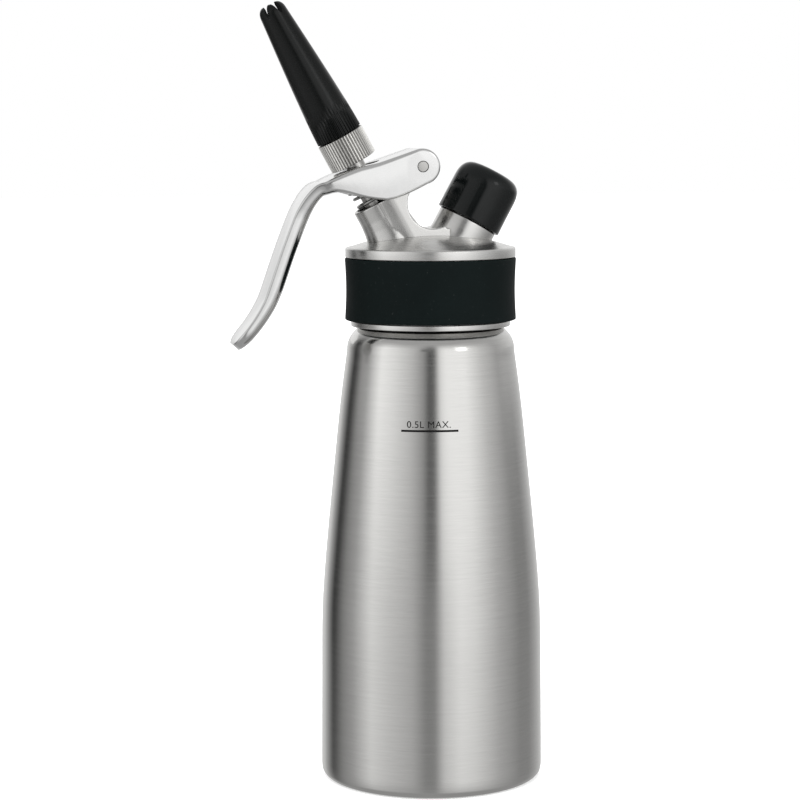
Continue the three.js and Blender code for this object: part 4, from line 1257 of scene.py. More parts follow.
@dataclass
class Casting:
    """The valve's housing, the lever's bracket and their foot in one, in the valve's upright drawing."""

    head: Head = field(default_factory=Head)
    inlet: GasInlet = field(default_factory=GasInlet)
    bottom: float = -9.5
    radius: float = 8.8
    height: float = 19.15
    flare: Outline = field(default_factory=lambda: [
        (1.5, -9.5), (1.45, 2.0), (1.05, 6.0), (0.35, 10.0), (0.0, 13.5)])
    bracket_width: float = 21.0
    bracket_reach: float = 17.0
    lug_radius: float = 4.7
    lug_run: float = 3.29
    lug_drop: float = 1.88
    gap_radius: float = 9.4
    gap_height: float = 9.6
    tool_width: float = 24.0
    foot_reach: float = 7.0
    foot_bottom: float = 190.0
    foot_top: float = 204.0
    foot_end: float = 5.08
    end_top: float = 204.6
    trim_reach: float = 14.0
    plan: Outline = field(default_factory=lambda: [
        (-4.2, 7.7), (-3.0, 8.3), (-1.0, 9.05), (1.0, 9.72), (3.0, 10.25), (5.0, 10.5)])
    plan_reach: float = 40.0
    plan_height: float = 90.0
    coil_radius: float = 9.1
    coil_top: float = 40.0
    edge: float = 0.35
    edge_angle: float = 50.0
    grain: float = 0.28
    rounds: int = 6
    shank_radius: float = 7.6
    shank_top: float = 9.0
    bores: Outline = field(default_factory=lambda: [
        (0, -12), (6.0, -12), (6.0, 8.05), (7.45, 8.05), (7.45, 18.65), (8.1, 19.3), (8.1, 22), (0, 22)])
    pin_play: float = 0.12
    pin_bore_width: float = 30.0

    def build(self) -> None:
        """Casts the piece, trims it and bores it."""
        barrel = self.barrel()
        lug = Bench.rod("lug", self.lug_radius, self.bracket_width, PIVOT)
        for shape in (self.bracket(), lug):
            Bench.combine(barrel, shape, Joining.ADD)
        Bench.modify(barrel, "BEVEL", width=self.edge * MM, segments=1, limit_method="ANGLE",
                     angle_limit=math.radians(self.edge_angle))
        Bench.cast(barrel, self.grain, self.rounds)
        self.trim(barrel)
        self.bore(barrel)
        Bench.lean(barrel, VALVE)
        fit_piece(barrel, Body.HEAD, Slot.HEAD, BLOCK_STEEL.material(VALVE), "valve_block", angle=60)

    def barrel(self) -> bpy.types.Object:
        """Spins the housing, which flares towards its foot.

        Returns:
            The housing.
        """
        return Bench.turned("valve_casting", [
            (0, self.bottom), *[(self.radius + more, z) for more, z in self.flare],
            (self.radius, self.height), (0, self.height)], 72)

    def bracket(self) -> bpy.types.Object:
        """Cuts the bracket with its foot from plates, open under the lug and round the spring.

        Returns:
            The bracket without its lug.
        """
        u, t = PIVOT
        half = self.bracket_width / 2
        web = Bench.plate("web", [
            (0, self.bottom), (self.bracket_reach, self.bottom), (self.bracket_reach, t), PIVOT,
            (u - self.lug_run, t + self.lug_run), (self.coil_radius, t - self.lug_drop),
            (self.coil_radius, self.height), (0, self.height)], self.bracket_width)
        foot = Bench.block("foot", (VALVE.foot_x, -half, self.foot_bottom),
                           (self.foot_reach, half, self.foot_top))
        Bench.lean(foot, VALVE, back=True)
        Bench.combine(web, foot, Joining.ADD)
        gap_place = (self.bracket_reach, self.gap_height)
        Bench.combine(web, Bench.rod("gap", self.gap_radius, self.tool_width, gap_place, 96))
        plan = flowing(self.plan, 5)
        stencil = Bench.plate("plan", [
            *plan, (self.plan_reach, half), (self.plan_reach, -half), *[(x, -y) for x, y in plan[::-1]]],
            self.plan_height)
        stencil.rotation_euler.x = -math.pi / 2
        Bench.settle(stencil)
        Bench.combine(web, stencil, Joining.KEEP)
        Bench.combine(web, Bench.pillar("coil", self.coil_radius, self.height + HAIR_MM, self.coil_top))
        return web

    def trim(self, barrel: bpy.types.Object) -> None:
        """Trims the casting at its foot's end, to the boss and to the dome.

        Args:
            barrel: The casting.
        """
        half = self.tool_width / 2
        end = Bench.block("end", (self.foot_end, -half, self.foot_bottom),
                          (self.trim_reach, half, self.end_top))
        boss = Bench.turned("boss", self.inlet.room_outline(), 72, leaning=BOSS)
        for tool in (end, boss, self.head.below_dome()):
            Bench.lean(tool, VALVE, back=True)
            Bench.combine(barrel, tool)

    def bore(self, barrel: bpy.types.Object) -> None:
        """Gives the casting its shank in the head, and bores it for valve, spring and pin.

        Args:
            barrel: The casting.
        """
        shank = Bench.pillar("shank", self.shank_radius, self.bottom, self.shank_top, 72)
        Bench.combine(barrel, shank, Joining.ADD)
        Bench.combine(barrel, Bench.turned("bores", self.bores, 72))
        pin_radius = PIN_RADIUS + self.pin_play
        Bench.combine(barrel, Bench.rod("pin_bore", pin_radius, self.pin_bore_width, PIVOT, 48))


@dataclass
class Lever:
    """The cast lever and its pin, drawn about the pin in the valve's frame."""

    width: float = 26.0
    channel_width: float = 21.5
    end_radius: float = 6.5
    end_edge: float = 1.2
    pin_half: float = 12.9
    pin_edge: float = 0.25
    pin_play: float = 0.15
    pin_bore_width: float = 40.0
    top: Outline = field(default_factory=lambda: [
        (1.0, 6.42), (-6.3, 7.65), (-14.44, 9.15), (-21.66, 11.19), (-29.64, 12.07), (-34.2, 12.25)])
    belly: Outline = field(default_factory=lambda: [
        (1.0, -6.42), (-8.55, -6.05), (-15.96, -4.85), (-20.52, -2.1), (-24.89, 1.3), (-28.12, 4.2),
        (-31.54, 6.75), (-34.2, 7.55)])
    handle: Outline = field(default_factory=lambda: [
        (-34.2, 9.9), (-37.6, 10.15), (-44.6, 6.7), (-56.2, -2.8), (-68.6, -13.95), (-74.6, -18.3),
        (-81.9, -22.0), (-90.2, -24.95)])
    crease: Outline = field(default_factory=lambda: [
        (1.0, 1.2), (-12.0, 1.6), (-22.0, 2.0), (-29.0, 1.7), (-34.2, 1.0)])
    narrowing: Outline = field(default_factory=lambda: [
        (1.0, 0.0), (-15.0, 0.0), (-27.0, 0.0), (-31.5, 0.12), (-34.8, 0.35)])
    narrowing_end: float = -38.0
    stations: tuple[float, ...] = (
        1.0, -2.0, -5.0, -8.0, -11.0, -14.0, -17.0, -20.0, -22.5, -25.0, -27.5, -29.5, -31.5, -33.2)
    easing_start: float = -22.0
    easing_end: float = -35.0
    head_edge: tuple[float, float] = (1.1, 1.1)
    root_edge: tuple[float, float] = (3.5, 2.1)
    handle_edge: tuple[float, float] = (5.1, 3.7)
    root_outer_edge: float = 1.0
    handle_outer_edge: float = 0.6
    edge_limit_shares: tuple[float, float] = (0.8, 1.5)
    handle_width: float = 21.1
    root_width: float = 25.0
    root_thickness: float = 4.7
    handle_thickness: float = 5.75
    tip_thickness: float = 4.3
    root_share: float = 0.2
    thinning_share: float = 0.6
    tip_share: float = 0.9
    tip_width_share: float = 0.42
    tip_loss_share: float = 0.18
    channel_end: float = -31.0
    channel_reach: float = 8.0
    channel_depth: float = -14.0
    channel_slope: float = 1.1
    cheek_wall: float = 1.15
    cheek_turn: float = 79.5
    roof_wall: float = 2.6
    pad_radius: float = 3.0
    pad_width: float = 6.0
    pad_aside: float = 8.0
    pad_height: float = 7.6
    slot_radius: float = 5.2
    slot_stretch: float = 3.3
    slot_top: float = 20.0

    def build(self) -> None:
        """Builds the lever and its pin."""
        fit_piece(self.lever(), Body.LEVER, Slot.LEVER, LEVER_STEEL.material(VALVE), "lever", angle=60)
        pin = self.cross_bar("pivot_pin", PIN_RADIUS, self.pin_half, self.pin_edge, 48)
        self.stand(pin)
        fit_piece(pin, Body.LEVER, Slot.TURNED, TURNED_STEEL.material(VALVE), "lever_pin")

    @staticmethod
    def cross_bar(name: str, radius: float, half: float, edge: float, steps: int) -> bpy.types.Object:
        """Spins a round bar with rounded rims and lays it along Y.

        Args:
            name: The new object's name.
            radius: Its radius.
            half: Half its length.
            edge: The rounding of its rims.
            steps: Faces round it.

        Returns:
            The bar.
        """
        outline = eased([(0, -half), (radius, -half, edge), (radius, half, edge), (0, half)])
        bar = Bench.turned(name, outline, steps)
        bar.rotation_euler.x = math.pi / 2
        Bench.settle(bar)
        return bar

    @staticmethod
    def stand(obj: bpy.types.Object) -> None:
        """Moves a drawing about the pin to its place in the dispenser."""
        Bench.shift(obj, x=PIVOT[0], z=PIVOT[1])
        Bench.lean(obj, VALVE)

    @staticmethod
    def section(half: float, deep: float, outer_edge: float, inner_edge: Sequence[float]) -> Outline:
        """A rounded section of the lever, crisp at its outer edges and fuller at its inner ones.

        Args:
            half: Half its width.
            deep: Half its thickness.
            outer_edge: The rounding of the outer edges.
            inner_edge: The rounding of the inner edges, across and through.

        Returns:
            The section's corners, each across and outwards.
        """
        across, through = inner_edge
        points: Outline = []
        for side in (1, -1):
            outer = bow(half - outer_edge, deep - outer_edge, outer_edge, 90, 0, 6)
            inner = [(half - across + across * math.cos(math.radians(a)),
                      through - deep + through * math.sin(math.radians(a))) for a in range(0, -91, -10)]
            corner = [*outer, *inner]
            points += [(x * side, y) for x, y in (corner if side == 1 else corner[::-1])]
        return points

    def head_loops(self) -> list[list[Vector]]:
        """Draws the sections of the head, upright ones from the pin to the handle's root.

        Returns:
            Each section's corners.
        """
        top, belly, crease = flowing(self.top, 8), flowing(self.belly, 8), flowing(self.crease, 6)
        side = flowing([*[(x, self.width / 2 - less) for x, less in self.narrowing],
                        (self.narrowing_end, self.root_width / 2)], 8)
        loops = []
        for x in self.stations:
            high, low = level_at(top, x), level_at(belly, x)
            middle, deep = (high + low) / 2, (high - low) / 2
            into = progress(x, self.easing_start, self.easing_end)
            edge = [between(*pair, into) for pair in zip(self.head_edge, self.root_edge)]
            loops.append([Vector((x, y, middle + z)) * MM
                          for y, z in self.section(level_at(side, x), deep, level_at(crease, x), edge)])
        return loops

    def handle_loops(self) -> list[list[Vector]]:
        """Draws the sections of the handle, square to its line, to its rounded tip.

        Returns:
            Each section's corners.
        """
        path = flowing(self.handle, 6)
        lengths = [0.0]
        for a, b in zip(path, path[1:]):
            lengths.append(lengths[-1] + math.dist(a, b))
        loops = []
        for i in range(1, len(path)):
            before, after = Vector(path[i - 1]), Vector(path[min(i + 1, len(path) - 1)])
            along = (after - before).normalized()
            through = Vector((along.y, -along.x))
            loops.append([Vector((path[i][0] + through.x * z, y, path[i][1] + through.y * z)) * MM
                          for y, z in self.handle_section(lengths[i] / lengths[-1])])
        return loops

    def handle_section(self, share: float) -> Outline:
        """Draws the handle's section at a share of its length.

        Args:
            share: How far along the handle it is, from 0 to 1.

        Returns:
            The section's corners.
        """
        grown = progress(share, 0, self.root_share)
        tip = progress(share, self.tip_share, 1)
        thick = between(self.root_thickness, self.handle_thickness, grown)
        thick -= (self.handle_thickness - self.tip_thickness) * progress(share, self.thinning_share, 1)
        width = between(self.root_width, self.handle_width, grown)
        half = width / 2 * between(self.tip_width_share, 1, math.sqrt(1 - tip ** 2))
        deep = thick / 2 * (1 - self.tip_loss_share * tip ** 3)
        across, through = (between(*pair, grown) for pair in zip(self.root_edge, self.handle_edge))
        across_limit, through_limit = self.edge_limit_shares
        edge = (min(across, half * across_limit), min(through, deep * through_limit))
        return self.section(half, deep, between(self.root_outer_edge, self.handle_outer_edge, grown), edge)

    def lever(self) -> bpy.types.Object:
        """Casts head and handle in one, with the channel, the pads, the stem's slot and the pin's bore.

        Returns:
            The lever.
        """
        body = Bench.loft("cast_lever", [*self.head_loops(), *self.handle_loops()])
        disc = self.cross_bar("disc", self.end_radius, self.width / 2, self.end_edge, 96)
        Bench.combine(body, disc, Joining.ADD)
        self.hollow(body)
        self.stand(body)
        return body

    def hollow(self, body: bpy.types.Object) -> None:
        """Cuts the channel between the cheeks, leaves the pads, and cuts the slot and the bore.

        Args:
            body: The solid lever.
        """
        inner = self.end_radius - self.cheek_wall
        ceiling = [(x, y - self.roof_wall) for x, y in self.top[1:5]]
        channel = [(self.channel_reach, self.channel_depth), (self.channel_reach, 0), (inner, 0),
                   *bow(0, 0, inner, 0, self.cheek_turn, 12)[1:], *flowing(ceiling, 4),
                   (self.channel_end, ceiling[-1][1] - self.channel_slope),
                   (self.channel_end, self.channel_depth)]
        Bench.combine(body, Bench.plate("channel", channel, self.channel_width))
        for side in (-1, 1):
            pad = Bench.rod("pad", self.pad_radius, self.pad_width, (-PIVOT[0], self.pad_height), 48)
            Bench.shift(pad, y=side * self.pad_aside)
            Bench.combine(body, pad, Joining.ADD)
        slot = Bench.pillar("slot", self.slot_radius, 0, self.slot_top, 48)
        Bench.corners_where(slot, lambda corner: corner.x > HAIR_MM)
        bpy.ops.transform.translate(value=Vector((self.slot_stretch, 0, 0)) * MM)
        bpy.ops.object.mode_set(mode="OBJECT")
        Bench.shift(slot, x=-PIVOT[0])
        Bench.combine(body, slot)
        pin_radius = PIN_RADIUS + self.pin_play
        Bench.combine(body, Bench.rod("pin_bore", pin_radius, self.pin_bore_width, (0, 0), 48))


@dataclass
class Valve:
    """The stem's tube, its cap and the spring under the cap."""

    stem: list[tuple[float, ...]] = field(default_factory=lambda: [
        (0, -15.0), (2.5, -15.0, 0.3), (2.5, -9.5), (4.2, -9.5, 0.3), (4.2, -4.2), (3.4, -4.2), (3.4, -1.6),
        (4.2, -1.6), (4.2, -1.0), (3.4, -1.0), (3.4, 1.6), (4.2, 1.6), (4.2, 24.7, 0.2), (3.5, 24.7),
        (3.5, 27.65), (2.9, 27.65), (2.9, 28.75), (3.5, 28.75), (3.5, 42.3, 0.4), (2.1, 42.3, 0.2),
        (2.1, -7.7), (0, -7.7)])
    cap: list[tuple[float, ...]] = field(default_factory=lambda: [
        (3.7, 25.0, 0.15), (5.4, 25.0, 0.15), (5.4, 25.63, 0.1), (7.6, 25.63, 0.2), (7.6, 26.3, 0.4),
        (6.4, 27.5, 0.3), (3.7, 27.5, 0.15)])
    spring_radius: float = 6.35
    wire: float = 1.25
    spring_bottom: float = 10.65
    spring_top: float = 25.3
    turns: float = 5.25
    turn_steps: int = 40
    laid_share: float = 0.7
    flat_pitch_share: float = 1.1

    def build(self) -> None:
        """Builds the stem's shown pieces and the spring."""
        steel = TURNED_STEEL.material(VALVE)
        tube = Bench.turned("stem_tube", eased(self.stem), 64, leaning=VALVE)
        fit_piece(tube, Body.STEM, Slot.TURNED, steel, "valve_stem")
        cap = Bench.turned("stem_cap", eased(self.cap, ring=True), 72, ring=True, leaning=VALVE)
        fit_piece(cap, Body.STEM, Slot.TURNED, steel, "spring_cap")
        spring = self.spring()
        fit_piece(spring, Body.HEAD, Slot.SPRING, WIRE_STEEL.material(VALVE), "valve_spring", angle=60)
        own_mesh(spring)

    def coil(self) -> list[Vector]:
        """Works out the coil's centre line: turns that climb between two turns laid flat.

        Returns:
            The line's points in metres, upright.
        """
        low = self.spring_bottom + self.wire / 2
        high = self.spring_top - self.wire / 2
        turn_share = 1 / self.turns
        laid = self.laid_share * turn_share
        flat = self.wire * self.flat_pitch_share
        count = round(self.turns * self.turn_steps)
        points = []
        for i in range(count + 1):
            share = i / count
            ends = progress(share, 0, turn_share) + progress(share, 1 - turn_share, 1)
            climb = progress(share, laid, 1 - laid)
            height = low + ends * flat + climb * (high - low - 2 * flat)
            angle = math.tau * self.turns * share
            points.append(Vector((self.spring_radius * math.cos(angle), self.spring_radius * math.sin(angle),
                                  height)) * MM)
        return points

    def spring(self) -> bpy.types.Object:
        """Draws the coil's centre line edge by edge and gives it the wire's section.

        Returns:
            The spring.
        """
        Bench.chain("coil_spring", self.coil())
        bpy.ops.object.mode_set(mode="OBJECT")
        bpy.ops.object.convert(target="CURVE")
        wire = bpy.context.object
        wire.data.bevel_depth = self.wire / 2 * MM
        wire.data.bevel_resolution = 4
        wire.data.use_fill_caps = True
        bpy.ops.object.convert(target="MESH")
        bpy.ops.object.mode_set(mode="EDIT")
        Bench.close()
        bpy.ops.object.mode_set(mode="OBJECT")
        spring = bpy.context.object
        Bench.lean(spring, VALVE)
        return spring


@dataclass
class Nozzle:
    """The knurled adapter and the decorating nozzle."""

    bottom: float = 35.6
    adapter_height: float = 10.8
    adapter_radius: float = 8.8
    socket_radius: float = 3.7
    socket_top: float = 44.3
    rim_run: float = 0.6
    rim_step: float = 0.15
    rim_rise: float = 0.1
    knurl_end: float = 0.2
    spigot_radius: float = 5.2
    spigot_height: float = 8.5
    passage_radius: float = 2.3
    teeth: int = 48
    knurl_depth: float = 0.4
    base: float = 46.7
    length: float = 53.1
    base_radius: float = 8.6
    tip_radius: float = 4.75
    mouth_radius: float = 1.9
    wall: float = 1.5
    bow_share: float = 0.2
    ribs: int = 44
    rib_depth: float = 0.5
    rib_foot: float = 0.15
    rib_step: float = 0.8
    rib_levels: int = 20
    side_steps: int = 12
    side_start: int = 5
    foot_bore: float = 5.5
    foot_lip: float = 0.2
    foot_depth: float = 9.1
    throat: float = 3.7
    throat_top: float = 10.6
    throat_level: float = 12.0
    throat_wall: float = 0.3
    inside_drops: tuple[float, ...] = (8.0, 18.0, 28.0)
    mouth_drop: float = 0.5
    dome_height: float = 3.6
    dome_reach: float = 2.5
    petal_slot: float = 4.7
    petal_slot_width: float = 2.6
    petal_overrun: float = 1.2
    petal_lip: float = 0.4
    petal_draft: float = 0.1
    petal_waist: float = 1.5
    petal_waist_share: float = 0.7
    petal_root: float = 0.1
    slot_pairs: int = 3
    slot_turn: float = 25.5

    def build(self) -> None:
        """Builds adapter and nozzle."""
        knurled = KNURL_STEEL.material(VALVE)
        fit_piece(self.adapter(), Body.NOZZLE, Slot.TURNED, knurled, "nozzle_adapter")
        fit_piece(self.cone(), Body.NOZZLE, Slot.NOZZLE, NOZZLE_PLASTIC.material(VALVE), "nozzle", angle=35)

    @staticmethod
    def draw_in(obj: bpy.types.Object, count: int, level: float, least: float, share: float) -> None:
        """Draws the valleys between teeth in to the axis at one height.

        Args:
            obj: An upright turned piece with four faces to a tooth.
            count: The number of teeth.
            level: The height in millimetres.
            least: The smallest radius that belongs to the teeth.
            share: How much of the radius is left.
        """
        def in_valley(co: Vector) -> bool:
            """Whether a corner is one of the two in a valley."""
            step = round(math.atan2(co.y, co.x) / math.tau * count * 4) % 4
            return step >= 2 and math.hypot(co.x, co.y) > least and abs(co.z - level) < HAIR_MM

        Bench.corners_where(obj, in_valley)
        bpy.ops.transform.resize(value=(share, share, 1), center_override=(0, 0, 0))
        bpy.ops.object.mode_set(mode="OBJECT")

    def adapter(self) -> bpy.types.Object:
        """Spins the adapter with its socket and spigot, and knurls its side.

        Returns:
            The adapter.
        """
        low, high = self.bottom, self.bottom + self.adapter_height
        top = high + self.spigot_height
        radius = self.adapter_radius
        rim, step = radius - self.rim_run, radius - self.rim_run + self.rim_step
        ends = (low + self.knurl_end, high - self.knurl_end)
        outline = eased([
            (self.socket_radius, low, 0.3), (rim, low, 0.1), (step, low + self.rim_rise), (radius, ends[0]),
            (radius, ends[1]), (step, high - self.rim_rise), (rim, high, 0.1), (self.spigot_radius, high),
            (self.spigot_radius, top, 0.3), (self.passage_radius, top, 0.2),
            (self.passage_radius, self.socket_top), (self.socket_radius, self.socket_top)], ring=True)
        adapter = Bench.turned("knurled_adapter", outline, 4 * self.teeth, ring=True)
        for level in ends:
            self.draw_in(adapter, self.teeth, level, radius - SLACK_MM, 1 - self.knurl_depth / radius)
        Bench.lean(adapter, VALVE)
        return adapter

    def radius_at(self, height: float) -> float:
        """Works out the nozzle's outside, which bows in from a straight foot.

        Args:
            height: The height over its foot.

        Returns:
            The radius.
        """
        opening = 1 - 2 * self.bow_share
        root = math.sqrt(self.bow_share ** 2 + opening * height / self.length)
        return between(self.base_radius, self.tip_radius, ((root - self.bow_share) / opening) ** 2)

    def outline(self, levels: Sequence[float]) -> Outline:
        """Draws the nozzle, outside and in.

        Args:
            levels: The heights that its ribbed foot is drawn through.

        Returns:
            The closed outline.
        """
        tip, wall = self.length, self.wall
        dome_foot = tip - self.dome_height
        dome_radius = self.radius_at(dome_foot)
        heights = [dome_foot * i / self.side_steps for i in range(self.side_start, self.side_steps)]
        dome = [(dome_radius - self.dome_reach * (1 - math.cos(math.radians(a))),
                 dome_foot + self.dome_height * math.sin(math.radians(a))) for a in range(0, 91, 10)]
        return [
            (self.foot_bore, self.foot_lip), (self.foot_bore + self.foot_lip, 0),
            (self.base_radius - self.rib_depth, 0), *[(self.radius_at(h), h) for h in (*levels, *heights)],
            *dome, (self.mouth_radius, tip),
            (self.tip_radius - wall, tip - self.petal_slot + self.mouth_drop),
            *[(self.radius_at(tip - drop) - wall, tip - drop) for drop in self.inside_drops],
            (self.radius_at(self.throat_level) - wall - self.throat_wall, self.throat_top),
            (self.throat, self.foot_depth), (self.foot_bore, self.foot_depth)]

    def notch(self) -> bpy.types.Object:
        """Cuts a tool for two slots of the crown that face each other.

        Returns:
            The tool, along Y.
        """
        tip, half, bottom = self.length, self.petal_slot_width / 2, self.length - self.petal_slot
        side = [(half, tip + self.petal_overrun), (half - self.petal_draft, tip - self.petal_lip),
                (self.petal_waist_share * half, bottom + self.petal_waist, 1.0),
                (self.petal_root, bottom, 0.4)]
        return Bench.plate("notch", eased([*[(-x, *rest) for x, *rest in side], *side[::-1]]), 20)

    def cone(self) -> bpy.types.Object:
        """Spins the nozzle, flutes its foot and cuts its crown of petals.

        Returns:
            The nozzle.
        """
        valley = self.base_radius - self.rib_depth
        levels = [self.rib_foot, *[i * self.rib_step for i in range(1, self.rib_levels)]]
        cone = Bench.turned("piping_nozzle", self.outline(levels), 4 * self.ribs, ring=True)
        for level in levels:
            radius = self.radius_at(level)
            if radius > valley:
                self.draw_in(cone, self.ribs, level, radius - SLACK_MM, valley / radius)
        for i in range(self.slot_pairs):
            notch = self.notch()
            notch.rotation_euler.z = math.radians(self.slot_turn) + math.pi * i / self.slot_pairs
            Bench.settle(notch)
            Bench.combine(cone, notch)
        Bench.shift(cone, z=self.base)
        Bench.lean(cone, VALVE)
        return cone


# Heights in metres that the lamps and the cards look at.
MIDDLE_HEIGHT = 0.14
HEAD_HEIGHT = 0.21


@dataclass(frozen=True)
class Lamp:
    """A soft square lamp that looks at the object's middle."""

    name: str
    place: tuple[float, float, float]
    size: float
    power: float

    def light(self) -> None:
        """Hangs the lamp."""
        bpy.ops.object.light_add(type="AREA", location=self.place)
        lamp = bpy.context.object
        lamp.name = self.name
        lamp.data.size = self.size
        lamp.data.energy = self.power
        aim = Vector((0, 0, MIDDLE_HEIGHT)) - Vector(self.place)
        lamp.rotation_euler = aim.to_track_quat("-Z", "Y").to_euler()
        lamp.visible_glossy = False


@dataclass(frozen=True)
class Panel:
    """A flat card near the tent's cloth, bright or dark, seen only in reflections.

    Its direction and size are in degrees as seen from the head: the azimuth counts from the camera's side.
    """

    name: str
    azimuth: float
    elevation: float
    width: float
    height: float
    level: float
    distance: float

    def hang(self, camera_azimuth: float) -> None:
        """Hangs the card facing the head.

        Args:
            camera_azimuth: The side of the object that the camera stands on, in degrees.
        """
        turn = math.radians(camera_azimuth + self.azimuth)
        rise = math.radians(self.elevation)
        ahead = Vector((math.sin(turn) * math.cos(rise), -math.cos(turn) * math.cos(rise), math.sin(rise)))
        bpy.ops.object.select_all(action="DESELECT")
        bpy.ops.mesh.primitive_plane_add(size=1)
        card = bpy.context.object
        card.name = self.name
        card.scale = (2 * self.distance * math.tan(math.radians(self.width / 2)),
                      2 * self.distance * math.tan(math.radians(self.height / 2)), 1)
        card.rotation_euler = (-ahead).to_track_quat("-Z", "Y").to_euler()
        card.location = ahead * self.distance + Vector((0, 0, HEAD_HEIGHT))
        Bench.settle(card)
        sheet = Sheet.named(self.name)
        card.data.materials.append(sheet.show(sheet.glow(self.level)))
        mirrored_only(card)


def faded(first: Value, second: Value | float, share: Value) -> Value:
    """A level that goes over from one to another by a share."""
    return first * (1 - share) + second * share


def mirrored_only(obj: bpy.types.Object) -> None:
    """Stages an object that is seen only in reflections.

    Args:
        obj: The object.
    """
    for rays in ("camera", "diffuse", "transmission", "volume_scatter", "shadow"):
        setattr(obj, f"visible_{rays}", False)


@dataclass
class Studio:
    """Floor, lamps, the round tent that the metal mirrors, and the camera.

    The tent's rings give its level by degrees from the camera's side, for low and for high directions. One
    goes over into the next between two rises, each the sine of the elevation.
    """

    azimuth: float = -10.8
    tilt: float = 6.3
    roll: float = -0.2
    camera_place: tuple[float, float, float] = (-179.5, -880.4, 239.5)
    lens: float = 109.98
    sensor: float = 36.0
    clip_end: float = 50.0
    floor_size: float = 16.0
    floor_drop: float = 0.0002
    floor_grey: float = 0.86
    floor_fade: tuple[float, float] = (0.2, 1.4)
    floor_lift: tuple[float, float] = (0.42, 1.0)
    world_levels: tuple[float, float] = (0.5, 1.0)
    tent_radius: float = 4.0
    top_level: float = 0.5
    bottom_level: float = 0.38
    low_ring: list[tuple[float, float]] = field(default_factory=lambda: [
        (-180, 0.85), (-152, 0.75), (-138, 0.35), (-126, 0.04), (-119, 0.08), (-105, 0.3), (-90, 0.45),
        (-66, 0.99), (-45, 0.78), (-20, 0.57), (-6, 0.28), (3.2, 0.28), (12.8, 0.84), (30, 1.12), (45, 1.0),
        (75, 0.55), (105, 0.3), (122, 0.3), (150, 0.6), (180, 0.85)])
    high_ring: list[tuple[float, float]] = field(default_factory=lambda: [
        (-180, 0.9), (-156, 0.85), (-140, 0.45), (-125, 0.05), (-117, 0.1), (-105, 0.4), (-92, 0.5),
        (-70, 1.25), (-50, 1.05), (-25, 0.7), (-10, 0.4), (-3, 0.1), (4.2, 0.15), (11.6, 1.05), (20, 1.24),
        (46, 1.2), (72, 0.75), (100, 0.48), (140, 0.75), (180, 0.9)])
    high_from: tuple[float, float] = (-0.02, 0.1)
    top_from: tuple[float, float] = (0.35, 0.75)
    bottom_from: tuple[float, float] = (-0.15, -0.7)
    panels: tuple[Panel, ...] = (
        Panel("key_strip", 43.5, 20, 14, 12, 2.4, 3.2),
        Panel("front_flag", -7, 18, 13, 9, 0.2, 3.3),
        Panel("back_card", -165, 13, 60, 16, 1.0, 3.5),
    )
    lamps: tuple[Lamp, ...] = (
        Lamp("key_lamp", (-1.1, -1.5, 1.5), 1.2, 34.0),
        Lamp("fill_lamp", (1.5, -1.2, 1.1), 1.2, 22.0),
        Lamp("top_lamp", (0.1, 0.3, 2.2), 1.6, 30.0),
    )

    def build(self) -> None:
        """Sets up the studio."""
        self.floor()
        self.tent()
        for panel in self.panels:
            panel.hang(self.azimuth)
        self.world()
        for lamp in self.lamps:
            lamp.light()
        self.camera()
        bpy.context.scene.view_settings.view_transform = "Standard"

    def floor(self) -> None:
        """Lays the pale floor, which shows white to the camera and keeps the shadow."""
        bpy.ops.object.select_all(action="DESELECT")
        bpy.ops.mesh.primitive_plane_add(size=self.floor_size, location=(0, 0, -self.floor_drop))
        floor = bpy.context.object
        floor.name = "floor"
        sheet = Sheet.named("floor_paint")
        sheet.surface(base_color=(self.floor_grey,) * 3, roughness=0.9, specular_ior_level=0.0)
        x, y, _ = sheet.parts(sheet.node("ShaderNodeTexCoord", output="Object"))
        away = sheet.range((x * x + y * y) ** 0.5, *self.floor_fade, *self.floor_lift)
        lift = away * sheet.node("ShaderNodeLightPath", output="Is Camera Ray")
        paint = Value(sheet, sheet.first("BSDF_PRINCIPLED").outputs[0])
        both = sheet.node("ShaderNodeAddShader", inputs={0: paint, 1: sheet.glow(lift)})
        floor.data.materials.append(sheet.show(both))
        floor.visible_glossy = False

    def tent(self) -> None:
        """Puts up the round tent: bright and dim stretches of cloth, seen only in reflections."""
        bpy.ops.object.select_all(action="DESELECT")
        bpy.ops.mesh.primitive_uv_sphere_add(segments=64, ring_count=32, radius=self.tent_radius)
        tent = bpy.context.object
        tent.name = "studio_tent"
        sheet = Sheet.named("tent_cloth")
        place = sheet.node("ShaderNodeTexCoord", output="Object")
        x, y, _ = sheet.parts(place)
        turn = math.radians(self.azimuth)
        ahead = x * math.sin(turn) - y * math.cos(turn)
        aside = x * math.cos(turn) + y * math.sin(turn)
        share = aside.maths("ARCTAN2", aside, ahead) / math.tau + 0.5
        low, high = (sheet.node("ShaderNodeValToRGB", {"stops": [
            ((degrees + 180) / 360, level) for degrees, level in ring]}, {0: share})
            for ring in (self.low_ring, self.high_ring))
        _, _, rise = sheet.parts(sheet.node("ShaderNodeVectorMath", {"operation": "NORMALIZE"}, {0: place}))
        level = faded(low, high, sheet.range(rise, *self.high_from))
        level = faded(level, self.top_level, sheet.range(rise, *self.top_from))
        level = faded(level, self.bottom_level, sheet.range(rise, *self.bottom_from))
        tent.data.materials.append(sheet.show(sheet.glow(level)))
        mirrored_only(tent)

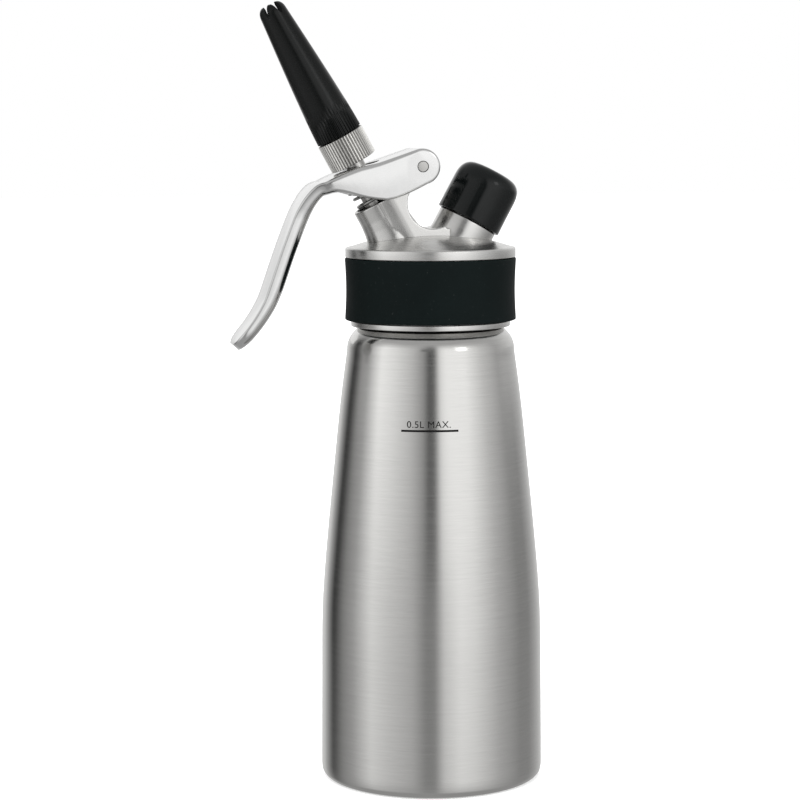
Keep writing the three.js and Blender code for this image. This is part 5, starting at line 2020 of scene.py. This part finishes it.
    def world(self) -> None:
        """Lights the world dimly, and shows it white to the camera and in glossy and clear surfaces."""
        world = bpy.data.worlds.new("studio_world")
        bpy.context.scene.world = world
        sheet = Sheet(world)
        seen: Value | float = 0.0
        for rays in ("Camera", "Glossy", "Transmission"):
            ray = sheet.node("ShaderNodeLightPath", output=f"Is {rays} Ray")
            seen = ray.maths("MAXIMUM", seen, ray)
        background = sheet.first("BACKGROUND")
        sheet.feed(background.inputs["Color"], (1, 1, 1))
        sheet.feed(background.inputs["Strength"], sheet.range(seen, 0, 1, *self.world_levels))

    def camera(self) -> None:
        """Sets the camera at the photograph's place."""
        bpy.ops.object.camera_add(
            location=Vector(self.camera_place) * MM,
            rotation=(math.radians(90 - self.tilt), 0, math.radians(self.azimuth)))
        camera = bpy.context.object
        turned = camera.rotation_euler.to_matrix() @ Matrix.Rotation(math.radians(self.roll), 3, "Z")
        camera.rotation_euler = turned.to_euler()
        camera.data.lens = self.lens
        camera.data.sensor_width = self.sensor
        camera.data.clip_end = self.clip_end
        bpy.context.scene.camera = camera


@dataclass
class HiddenPieces:
    """The pieces inside, which stay as they are in the frame and get their finishes."""

    def build(self) -> None:
        """Dresses each node inside."""
        rubber = SEAL_RUBBER.material(VALVE)
        finishes = {
            "stem_clip": WIRE_STEEL.material(VALVE),
            "stem_guide": BUSH_PLASTIC.material(VALVE),
            "stem_seal_lower": rubber,
            "stem_seal_upper": rubber,
            "valve_seal": rubber,
            "seal_nut": TURNED_STEEL.material(VALVE),
            "adapter_washer": PALE_SILICONE.material(VALVE),
            "piercing_pin": NEEDLE_STEEL.material(BOSS),
            "piercer_plug": BRASS.material(BOSS),
            "charger_washer": rubber,
            "gas_check_valve": rubber,
        }
        for node, material in finishes.items():
            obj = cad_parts[node]
            obj.data.materials.clear()
            obj.data.materials.append(material)
            LOG.info("%s dressed", node)


def main() -> None:
    """Builds the dispenser and its studio in order."""
    logging.basicConfig(level=logging.INFO, format="%(name)s: %(message)s")
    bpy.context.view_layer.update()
    Studio().build()
    for assembly in (Bottle(), Gasket(), Head(), Casting(), GasInlet(), Lever(), Valve(), Nozzle(),
                     HiddenPieces()):
        assembly.build()


if __name__ == "__main__":
    main()
